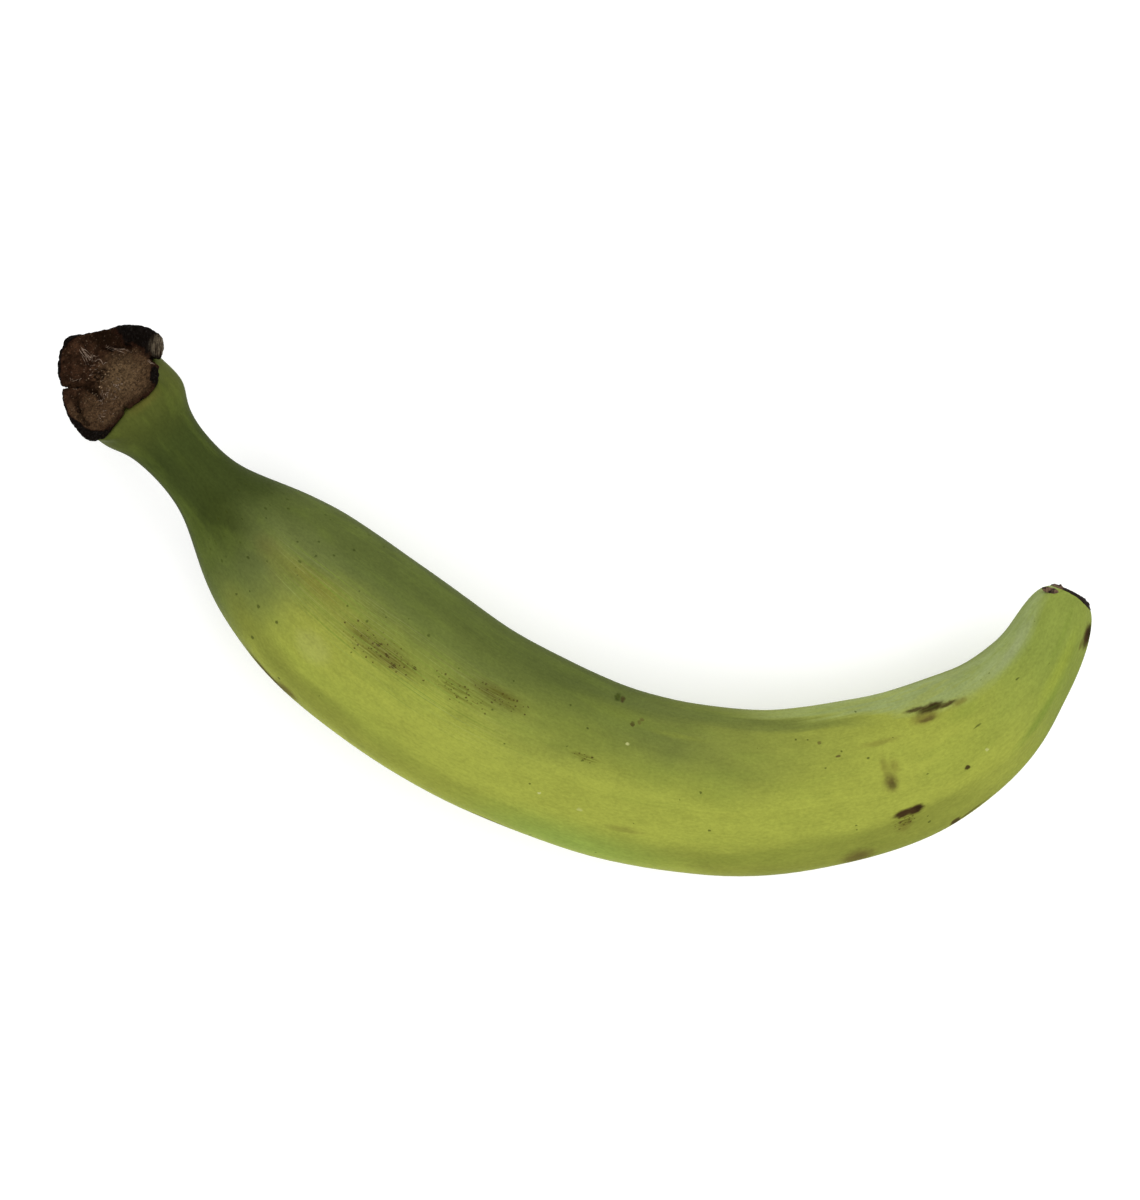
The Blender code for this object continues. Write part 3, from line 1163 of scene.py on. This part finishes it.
# Painted shade: a narrow darker line just below the inner ridge, where the ridge shades the peel.
ridge_shade_line = between(tree, past_ridge, -2.0, 5.0, 8.0, 19.0)
ridge_shade_line = product(tree, ridge_shade_line, between(tree, along, 150.0, 185.0, 215.0, 245.0), 0.6)
colour = blend(tree, ridge_shade_line, colour, SHOULDER_GREEN)
bloom_middle = calculate(tree, "MULTIPLY_ADD", bloom_border, 0.9, -4.5)
above_ridge = calculate(tree, "SUBTRACT", past_ridge, bloom_middle)
above_ridge = calculate(tree, "DIVIDE", above_ridge, bloom_border)
# Pale wax above the ridge, painted paler as a sheen where the facet faces the bright room.
bloom = product(tree, ramp(tree, above_ridge, 1.0, -1.0), ramp(tree, along, 178.0, 234.0))
worn = calculate(tree, "MULTIPLY_ADD", ramp(tree, streaks(38.0, 1.5), 0.62, 0.42), 0.35, 0.65)
colour = blend(tree, product(tree, bloom, worn), colour, PALE_BLOOM_AND_SHEEN)

# %% [markdown]
# A dull olive band marks the outer ridge, partly darker pigment and partly painted shade beside
# the ridge, weaker along the middle of the belly and towards the tip. The underside is painted a
# darker, plainer green as shade, and the flanks of the neck and the shoulder, which curve away
# from the light, get painted shade that keeps them darker than their tops.

# %% Outer ridge, and painted shade on the underside and flanks
FLANK_STRENGTH, MORE_ON_FLARE = 0.28, 0.32

inside_edge = product(tree, ramp(tree, loose_turn, 154.0, 170.0), ramp(tree, along, 205.0, 175.0))
# The olive band along the outer ridge: darker pigment together with painted shade of the ridge.
outer_line = product(tree, ramp(tree, loose_turn, 132.0, 150.0), ramp(tree, along, 55.0, 72.0), 0.75)
not_tip = calculate(tree, "MULTIPLY_ADD", ramp(tree, along, 264.0, 240.0), 0.75, 0.25)
not_inside = calculate(tree, "SUBTRACT", 1.0, inside_edge)
pale_stretch = between(tree, along, 98.0, 120.0, 170.0, 192.0)
not_pale = calculate(tree, "MULTIPLY_ADD", pale_stretch, -0.35, 1.0)
outer_line = product(tree, outer_line, not_tip, not_inside, not_pale)
colour = blend(tree, outer_line, colour, RIM_OLIVE_AND_SHADE)
above = node(tree, "ShaderNodeSeparateXYZ", {0: place}).outputs["Z"]
# Painted shade: the peel below the axis is darkened, as the underside faces away from the light.
under = product(tree, ramp(tree, above, 3.0, -7.0), ramp(tree, along, 60.0, 85.0), 0.6)
colour = blend(tree, under, colour, UNDERSIDE_SHADE)
# Painted shade: the outer and hollow flanks are darkened where they curve away from the light, most on
# the flare.
outer_flank = product(tree, ramp(tree, turn, 156.0, 172.0), ramp(tree, along, 105.0, 90.0))
lit_stretch = between(tree, along, 34.0, 42.0, 64.0, 80.0)
outer_flank = product(tree, outer_flank, calculate(tree, "SUBTRACT", 1.0, lit_stretch))
hollow_flank = product(tree, ramp(tree, turn, 28.0, 10.0), between(tree, along, 20.0, 62.0, 192.0, 212.0))
on_flare = ramp(tree, along, 46.0, 30.0)
flank_strength = calculate(tree, "MULTIPLY_ADD", on_flare, MORE_ON_FLARE, FLANK_STRENGTH)
flank_shade = product(tree, strongest(tree, (hollow_flank, outer_flank)), flank_strength)
colour = blend(tree, flank_shade, colour, FLANK_SHADE)

# %% [markdown]
# ## Scars and bruises
#
# Each mark is one soft patch: where it is, how large, how soft its edge and how strong its
# pigment. The widest ones are faint and only shift the green from place to place; the small
# strong ones are scars. The places are pushed about by fine noise first, which makes the
# outlines ragged. Brown and black marks are kept in a list: they will be sunk and dull.

# %% The fruit's own marks
# Along, around, half length in mm, half width in degrees, softness, strength, pigment.
MARKS = (
    # Flare, neck and shoulder.
    (13.5, 12.0, 2.0, 26.0, 0.9, 0.40, "tan"),
    (16.0, -50.0, 3.0, 14.0, 0.9, 0.45, "dark green"),
    (68.0, 8.0, 15.0, 42.0, 1.0, 0.05, "cream"),
    (13.6, 42.0, 1.6, 10.0, 0.9, 0.35, "dark green"),
    (50.0, -10.0, 10.0, 28.0, 1.0, 0.30, "dark green"),
    (49.0, -70.0, 11.0, 22.0, 1.0, 0.22, "green"),
    (77.0, 10.0, 10.0, 10.0, 0.9, 0.50, "ochre"),
    (68.0, 2.0, 5.0, 16.0, 0.9, 0.25, "ochre"),
    (86.0, -28.0, 5.5, 11.0, 0.5, 0.14, "cream"),
    # The two stains with their darkest dots.
    (99.5, 2.0, 12.5, 9.5, 0.9, 0.62, "olive"),
    (86.0, -14.0, 13.0, 22.0, 1.0, 0.14, "tan"),
    (62.0, 6.0, 4.5, 14.0, 0.9, 0.30, "tan"),
    (103.0, -1.0, 3.5, 3.0, 0.9, 0.40, "brown"),
    (130.5, 22.0, 7.5, 7.0, 0.8, 0.70, "olive"),
    (104.5, -2.0, 0.7, 2.0, 0.5, 0.90, "bark"),
    (98.5, 3.5, 0.5, 1.6, 0.5, 0.90, "bark"),
    (101.5, 1.5, 0.6, 1.3, 0.5, 0.85, "bark"),
    (109.0, 5.5, 0.5, 1.4, 0.5, 0.85, "bark"),
    # Faint drifts of colour over the middle and the tip.
    (153.0, 24.0, 20.0, 22.0, 1.0, 0.26, "yellow"),
    (179.0, 46.0, 8.0, 3.0, 0.9, 0.18, "yellow"),
    (191.0, 2.0, 7.0, 15.0, 1.0, 0.22, "green"),
    (176.0, 8.0, 10.0, 14.0, 1.0, 0.22, "green"),
    # Painted shade: a darker green streak beside the outer ridge near the tip.
    (273.0, -54.0, 9.0, 8.0, 0.8, 0.75, "green"),
    (291.0, -18.0, 9.0, 7.0, 0.9, 0.45, "green"),
    (124.0, 38.0, 30.0, 17.0, 1.0, 0.07, "yellow"),
    (283.0, -40.0, 10.0, 12.0, 0.9, 0.42, "yellow"),
    # The tip's inner facet: pale wax with a painted sheen.
    (280.0, 55.0, 14.0, 11.0, 1.0, 0.48, "bloom"),
    (163.0, 52.0, 16.0, 9.0, 1.0, 0.15, "yellow"),
    (259.0, 30.0, 6.0, 12.0, 1.0, 0.35, "green"),
    (160.0, -68.0, 23.0, 20.0, 1.0, 0.42, "fresh green"),
    # Small scars and pale nicks in the middle.
    (171.0, -43.0, 4.5, 3.0, 0.7, 0.30, "brown"),
    (160.0, 66.5, 1.0, 5.0, 0.6, 0.90, "dark green"),
    (161.6, 66.0, 0.8, 3.8, 0.6, 0.85, "bark"),
    (166.3, 46.0, 0.8, 2.0, 0.4, 0.85, "bark"),
    (168.0, 49.5, 0.6, 2.0, 0.5, 0.60, "brown"),
    (168.6, 53.0, 0.7, 2.2, 0.5, 0.70, "brown"),
    (166.4, 28.0, 0.6, 1.1, 0.5, 0.80, "cream"),
    (150.0, -33.5, 0.4, 1.0, 0.5, 0.80, "cream"),
    (160.0, -35.5, 0.8, 1.1, 0.6, 0.45, "cream"),
    (258.2, -28.0, 0.5, 1.8, 0.5, 0.60, "cream"),
    # The crosswise bruise and the dark bar beside it.
    (234.4, 34.5, 6.0, 3.5, 0.8, 0.42, "tan"),
    (236.0, 6.0, 1.5, 9.0, 0.9, 0.50, "tan"),
    (234.1, -9.0, 2.0, 11.0, 0.9, 0.75, "brown"),
    (234.3, -12.0, 0.8, 6.0, 0.9, 0.50, "bark"),
    (233.6, 9.0, 1.2, 12.0, 0.9, 0.45, "tan"),
    (234.9, -45.6, 2.4, 4.8, 0.5, 1.00, "bark"),
    (237.7, -46.6, 2.2, 5.4, 0.5, 1.00, "bark"),
    (234.4, -61.0, 1.8, 7.0, 0.9, 0.50, "tan"),
    (234.0, -54.0, 0.7, 2.0, 0.6, 0.70, "brown"),
    (235.6, -58.0, 0.6, 1.8, 0.6, 0.65, "brown"),
    # The long black scar on the inner ridge.
    (249.0, 45.5, 4.2, 8.0, 0.6, 0.75, "tan"),
    (249.2, 42.5, 2.4, 3.4, 0.6, 0.65, "brown"),
    (259.4, 44.5, 2.4, 4.5, 0.6, 0.60, "tan"),
    (247.4, 57.2, 3.4, 2.6, 0.6, 0.85, "bark"),
    (251.8, 53.2, 4.2, 5.0, 0.5, 1.00, "bark"),
    (252.2, 53.0, 2.4, 2.4, 0.8, 0.80, "black"),
    (238.4, -46.6, 1.2, 2.4, 0.8, 0.70, "black"),
    (256.0, 49.0, 3.2, 3.0, 0.6, 0.90, "bark"),
    # Single spots, and the scars that reach over the outer edge.
    (223.0, -78.0, 4.2, 10.0, 0.7, 0.75, "brown"),
    (252.0, -31.5, 0.7, 2.8, 0.5, 1.00, "bark"),
    (259.4, 4.6, 1.2, 1.4, 0.5, 0.70, "dark green"),
    (218.7, 45.0, 0.6, 1.8, 0.5, 0.60, "brown"),
    (222.7, 29.0, 0.6, 1.4, 0.5, 0.80, "brown"),
    (275.4, 16.0, 0.5, 2.4, 0.5, 0.70, "dark green"),
    (244.8, -87.0, 1.3, 5.0, 0.4, 0.90, "bark"),
    (82.0, -81.0, 7.0, 5.0, 0.6, 0.85, "bark"),
    (87.5, -75.0, 3.4, 7.0, 0.7, 0.70, "brown"),
    (141.0, -84.0, 5.5, 5.0, 0.7, 0.70, "brown"),
    (292.8, -80.0, 3.2, 15.0, 0.6, 1.00, "bark"),
    (294.2, -88.0, 2.4, 12.0, 0.6, 0.90, "black"),
    (290.2, -66.0, 1.4, 5.0, 0.8, 0.60, "brown"),
    (248.6, -88.0, 5.0, 2.2, 0.6, 0.60, "bark"),
)

rough_along = shifted(along, streaks(1.3, 1.1, 3.0), 0.8)
rough_around = shifted(around, streaks(2.4, 1.0), 2.2)
scars = []
for *shape, strength, pigment in MARKS:
    mask = product(tree, patch(tree, rough_along, rough_around, *shape), strength)
    colour = blend(tree, mask, colour, PIGMENTS[pigment])
    if pigment in ("bark", "brown", "black"):
        scars.append(mask)
marked = strongest(tree, scars)
print("marks:", len(MARKS), "of them scars:", len(scars))

# %% [markdown]
# ## Flyspecks and speckle clusters
#
# Small dark dots are strewn over the whole fruit. In a few clusters they crowd together and
# the peel between them is stained in streaks. They are laid on the peel as if it were
# unrolled, so that every dot shows in full.

# %% Dots
PEEL_PER_DEGREE = 0.36  # millimetres round the belly
CLUSTER_SOFTNESS = 0.7
# Along, around, half length, half width: where the dots crowd.
CLUSTERS = (
    (100.0, 2.0, 12.0, 11.0),
    (131.0, 21.0, 7.5, 7.0),
    (122.0, 10.0, 10.0, 7.0),
    (157.0, 6.0, 4.0, 3.0),
    (234.5, -54.0, 3.0, 9.0),
)

crowds = [patch(tree, along, around, *cluster, CLUSTER_SOFTNESS) for cluster in CLUSTERS]
crowd = strongest(tree, crowds)
inputs = {0: along, 1: product(tree, around, PEEL_PER_DEGREE)}
unrolled = node(tree, "ShaderNodeCombineXYZ", inputs).outputs[0]
freckled = product(tree, between(tree, along, 42.0, 50.0, 70.0, 82.0), 0.085)
freckles = dots(tree, unrolled, 2.0, freckled)
sparse = dots(tree, unrolled, 1.6, 0.010)
loose = product(tree, strongest(tree, (freckles, sparse)), 0.68)
colour = blend(tree, loose, colour, PIGMENTS["dark green"])
crowded = dots(tree, unrolled, 1.15, product(tree, crowd, 0.80))
colour = blend(tree, product(tree, crowded, 0.85), colour, PIGMENTS["speck"])
stained = product(tree, crowd, ramp(tree, streaks(8.0, 0.5), 0.42, 0.60), 0.55)
colour = blend(tree, stained, colour, PIGMENTS["bronze"])

# %% [markdown]
# ## Fibres, mottle and wax
#
# The last layer is texture. Fine fibres show as lengthwise scratches, dark and pale, most on
# top of the belly. A cloudy mottle and a finer grain break up the flat colour. The same masks
# drive the relief, and scars are duller than the waxy peel.

# %% Fine texture, relief and gloss
DARK_FIBRES, PALE_FIBRES = 0.74, 0.16
MOTTLE, GRAIN, BANDS = 0.34, 0.48, 0.20

# Drawn on the unrolled peel, each line keeps to its own angle round the fruit.
dark_lines = ramp(tree, streaked(tree, unrolled, 34.0, 0.34, 2.0), 0.54, 0.66)
pale_lines = ramp(tree, streaked(tree, unrolled, 28.0, 0.27, 2.0), 0.56, 0.68)
on_belly = between(tree, loose_along, 60.0, 70.0, 115.0, 155.0)
fibre_zone = product(tree, on_belly, between(tree, turn, 52.0, 70.0, 98.0, 122.0))
faint = product(tree, ramp(tree, along, 62.0, 80.0), 0.15)
fibre_mask = product(tree, dark_lines, strongest(tree, (fibre_zone, faint)), DARK_FIBRES)
colour = blend(tree, fibre_mask, colour, PIGMENTS["green"])
colour = blend(tree, product(tree, pale_lines, fibre_zone, PALE_FIBRES), colour, PIGMENTS["cream"])

mottle, grain, bands = streaks(8.0, 5.0, 4.0), streaks(1.0, 0.6, 3.0), streaks(45.0, 2.2, 3.0)
greener = product(tree, ramp(tree, streaks(30.0, 6.0, 3.0), 0.48, 0.68), 0.30)
colour = blend(tree, greener, colour, blend(tree, 0.5, colour, PIGMENTS["green"]))
light = calculate(tree, "MULTIPLY_ADD", mottle, MOTTLE, 1.0 - (MOTTLE + GRAIN + BANDS) / 2.0)
light = calculate(tree, "MULTIPLY_ADD", grain, GRAIN, light)
light = calculate(tree, "MULTIPLY_ADD", bands, BANDS, light)
tinted = node(tree, "ShaderNodeHueSaturation", {"Color": colour, "Value": light}).outputs[0]

relief = calculate(tree, "MULTIPLY_ADD", grain, 0.5, product(tree, bands, 0.6))
relief = calculate(tree, "SUBTRACT", relief, product(tree, fibre_mask, 0.5))
relief = calculate(tree, "SUBTRACT", relief, product(tree, marked, 0.8))
bump = node(tree, "ShaderNodeBump", {"Height": relief, "Strength": 0.25, "Distance": 0.0004})
dull = calculate(tree, "MULTIPLY_ADD", marked, 0.3, calculate(tree, "MULTIPLY_ADD", mottle, 0.12, 0.40))

wire(tree, tinted, shader.inputs["Base Color"])
wire(tree, dull, shader.inputs["Roughness"])
wire(tree, bump.outputs[0], shader.inputs["Normal"])
shader.inputs["Specular IOR Level"].default_value = 0.008
skin.data.materials.append(peel)
print("peel nodes:", len(tree.nodes))

# %% [markdown]
# ## Dried cork
#
# The cut has dried to brown cork: tan in the middle, redder towards the outer side, with
# dark pits and pale specks that are partly fibre ends and partly painted glints. Along the rim
# and on the lump it is charred black, with a scorched border that is dark red-brown, and grey
# specks on the char paint its glints. Painted shade darkens the cork under the lump, in the
# cracks and along the near crust, and a fine grain paints the light and shade of the crumbs.
# The lump's torn side shows its pale threads.

# %% Cork material
CORK_DARK = (0.0150, 0.0072, 0.0038)
CORK_RED = (0.034, 0.0162, 0.0084)
CORK_TAN = (0.080, 0.050, 0.025)
# Pale specks: partly fibre ends, partly painted glints of the cork's gloss.
PALE_ENDS_AND_GLINTS = (0.200, 0.145, 0.095)
# A near-black brown, used for dark specks and for painted shade.
SOOT_AND_SHADE = (0.0062, 0.0030, 0.0014)
CHAR = (0.0032, 0.0022, 0.0016)
SCORCHED = (0.0130, 0.0050, 0.0028)
# Pale specks that paint glints on the shiny char.
CHAR_GLINTS = (0.019, 0.016, 0.014)
TORN_SIDE = (0.068, 0.054, 0.036)
TORN_PLACE = (5.6, 14.2, 3.2, 2.9, 0.5)  # along, across, half length, half width, softness

cork_paint, tree, shader = new_paint("dried_cork")
place = grouped(tree, place_group)["Place"]
spot = node(tree, "ShaderNodeSeparateXYZ", {0: place}).outputs
char = node(tree, "ShaderNodeAttribute", attribute_name="char").outputs["Fac"]
painted_shade = node(tree, "ShaderNodeAttribute", attribute_name="painted_shade").outputs["Fac"]


def cork_noise(size, detail=3.0):
    """Noise that is the same size both ways."""
    return streaked(tree, place, size, size, detail)


def cork_patch(*shape):
    """A soft spot on the cut: its middle along and across the fruit, half length, half width."""
    ragged_along = shifted(spot["X"], cork_noise(3.0), 3.0)
    ragged_across = shifted(spot["Y"], cork_noise(2.4), 3.0)
    return patch(tree, ragged_along, ragged_across, *shape, 0.9)


clouds, crumbs = cork_noise(3.4, 4.0), cork_noise(0.8)
colour = blend(tree, ramp(tree, clouds, 0.38, 0.62), CORK_DARK, CORK_RED)
lower_half = product(tree, ramp(tree, shifted(spot["X"], clouds, 3.0), -1.0, 7.0), 0.85)
colour = blend(tree, lower_half, colour, blend(tree, clouds, CORK_RED, CORK_TAN))
colour = blend(tree, cork_patch(4.4, 2.0, 6.2, 5.6), colour, CORK_TAN)
# Painted shade under the lump, in the cracks and along the near crust.
colour = blend(tree, product(tree, painted_shade, 0.85), colour, SOOT_AND_SHADE)
colour = blend(tree, product(tree, ramp(tree, crumbs, 0.58, 0.32), 0.6), colour, SOOT_AND_SHADE)
pits = product(tree, cork_patch(1.0, -3.4, 4.2, 3.2), ramp(tree, cork_noise(1.2), 0.54, 0.44))
colour = blend(tree, pits, colour, SOOT_AND_SHADE)
# Pale specks, partly fibre ends and partly painted glints.
pale = dots(tree, place, 0.75, 0.34)
scattered = calculate(tree, "MULTIPLY_ADD", cork_patch(3.0, -3.0, 5.0, 5.5), 0.60, 0.18)
colour = blend(tree, product(tree, pale, scattered), colour, PALE_ENDS_AND_GLINTS)
ragged_char = shifted(shifted(char, crumbs, 0.40), cork_noise(4.0, 4.0), 0.80)
colour = blend(tree, product(tree, ramp(tree, ragged_char, 0.05, 0.45), 0.75), colour, SCORCHED)
colour = blend(tree, ramp(tree, ragged_char, 0.40, 0.72), colour, CHAR)
# Painted glints: pale specks on the char where its shine would catch the light.
painted_glints = product(tree, ramp(tree, cork_noise(0.6), 0.54, 0.70), ramp(tree, char, 0.4, 0.9), 0.5)
colour = blend(tree, painted_glints, colour, CHAR_GLINTS)

sum_of_both = calculate(tree, "ADD", spot["X"], spot["Y"])
difference = calculate(tree, "SUBTRACT", spot["X"], spot["Y"])
slanted = node(tree, "ShaderNodeCombineXYZ", {0: sum_of_both, 1: difference}).outputs[0]
torn_threads = ramp(tree, streaked(tree, slanted, 0.55, 9.0, 2.0), 0.36, 0.60)
ragged_along, ragged_across = shifted(spot["X"], clouds, 1.5), shifted(spot["Y"], crumbs, 0.8)
torn_side = patch(tree, ragged_along, ragged_across, *TORN_PLACE)
colour = blend(tree, torn_side, colour, blend(tree, torn_threads, SOOT_AND_SHADE, TORN_SIDE))

# Fine grain of the cork, which also paints the light and shade of its crumbs.
grain_and_shading = calculate(tree, "MULTIPLY_ADD", cork_noise(0.42, 2.0), 2.8, -0.62)
grain_and_shading = calculate(tree, "MULTIPLY_ADD", cork_noise(1.3), 1.2, grain_and_shading)
colour = node(tree, "ShaderNodeHueSaturation", {"Color": colour, "Value": grain_and_shading}).outputs[0]
bump = node(tree, "ShaderNodeBump", {"Height": crumbs, "Strength": 0.9, "Distance": 0.0008})
wire(tree, colour, shader.inputs["Base Color"])
wire(tree, bump.outputs[0], shader.inputs["Normal"])
wire(tree, calculate(tree, "MULTIPLY_ADD", char, -0.30, 0.85), shader.inputs["Roughness"])
shader.inputs["Specular IOR Level"].default_value = 0.004
crown.data.materials.append(cork_paint)
print("cork nodes:", len(tree.nodes))

# %% [markdown]
# ## Threads and scab
#
# The threads are pale straw, a little darker here and there. The scab is nearly black, its
# crust a dull brown.

# %% Thread and scab materials
STRAW_BROWN, STRAW_PALE = (0.090, 0.058, 0.038), (0.260, 0.190, 0.140)
SCAB_BLACK, CRUST_BROWN = (0.010, 0.006, 0.004), (0.130, 0.080, 0.048)
CRUST_STARTS = 3.0


def simple_paint(name, dark, light, size, roughness, brown_side=None):
    """Two pigments mixed by noise, with crumbly relief. The light one may keep to one side."""
    paint, tree, shader = new_paint(name)
    place = grouped(tree, place_group)["Place"]
    noise = streaked(tree, place, size, size, 3.0)
    mask = ramp(tree, noise, 0.38, 0.62)
    if brown_side is not None:
        across = node(tree, "ShaderNodeSeparateXYZ", {0: place}).outputs["Y"]
        mask = product(tree, mask, ramp(tree, across, brown_side - 1.5, brown_side))
    bump = node(tree, "ShaderNodeBump", {"Height": noise, "Strength": 0.6, "Distance": 0.0004})
    wire(tree, blend(tree, mask, dark, light), shader.inputs["Base Color"])
    wire(tree, bump.outputs[0], shader.inputs["Normal"])
    shader.inputs["Roughness"].default_value = roughness
    shader.inputs["Specular IOR Level"].default_value = 0.1
    return paint


straw = simple_paint("pale_fibre", STRAW_BROWN, STRAW_PALE, 1.5, 0.8)
fibres.data.materials.append(straw)
scab = simple_paint("flower_scab", SCAB_BLACK, CRUST_BROWN, 1.1, 0.8, CRUST_STARTS)
scar.data.materials.append(scab)

# %% [markdown]
# ## Floor and light
#
# The fruit lies on a plain pale floor that glows a little, so that the contact shadow stays
# soft. A bright room lights it from all sides. Three large softboxes stand round it: a weak
# key from the outer side, one from the tip and one from the hollow side.

# %% Floor and light
bpy.ops.object.select_all(action="DESELECT")
bpy.ops.mesh.primitive_plane_add(size=6.0)
floor = bpy.context.object
floor.name = "floor"
paper, _, shader = new_paint("white_floor")
shader.inputs["Base Color"].default_value = (0.9, 0.9, 0.9, 1.0)
shader.inputs["Roughness"].default_value = 0.9
shader.inputs["Specular IOR Level"].default_value = 0.0
shader.inputs["Emission Color"].default_value = (1.0, 1.0, 1.0, 1.0)
shader.inputs["Emission Strength"].default_value = 0.25
floor.data.materials.append(paper)

world = bpy.data.worlds.new("soft_room")
bpy.context.scene.world = world
world.use_nodes = True
world.node_tree.nodes["Background"].inputs["Color"].default_value = (1.0, 1.0, 1.0, 1.0)
world.node_tree.nodes["Background"].inputs["Strength"].default_value = 0.75


def softbox(name, azimuth, elevation, distance, size, power):
    """A square area light that looks at the fruit from this direction, in degrees and metres."""
    flat, up = math.radians(azimuth), math.radians(elevation)
    place = Vector((math.cos(flat) * math.cos(up), math.sin(flat) * math.cos(up), math.sin(up)))
    bpy.ops.object.light_add(type="AREA", location=place * distance)
    lamp = bpy.context.object
    lamp.name = name
    lamp.data.size = size
    lamp.data.energy = power
    lamp.rotation_euler = place.to_track_quat("Z", "Y").to_euler()
    return lamp


softbox("softbox_front", 235.0, 42.0, 1.4, 1.2, 9.0)
softbox("softbox_right", 345.0, 38.0, 1.4, 1.2, 6.0)
softbox("softbox_back", 75.0, 38.0, 1.4, 1.2, 8.0)
bpy.context.scene.view_settings.view_transform = "Standard"

# %% [markdown]
# ## Attach to the fruit's body
#
# All four pieces ride on the fruit's one body and together stand for its one solid.

# %% Attach every piece to the root body and hide the CAD plantain
for piece, slot in PIECES.items():
    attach(piece, "root")
    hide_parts("plantain")
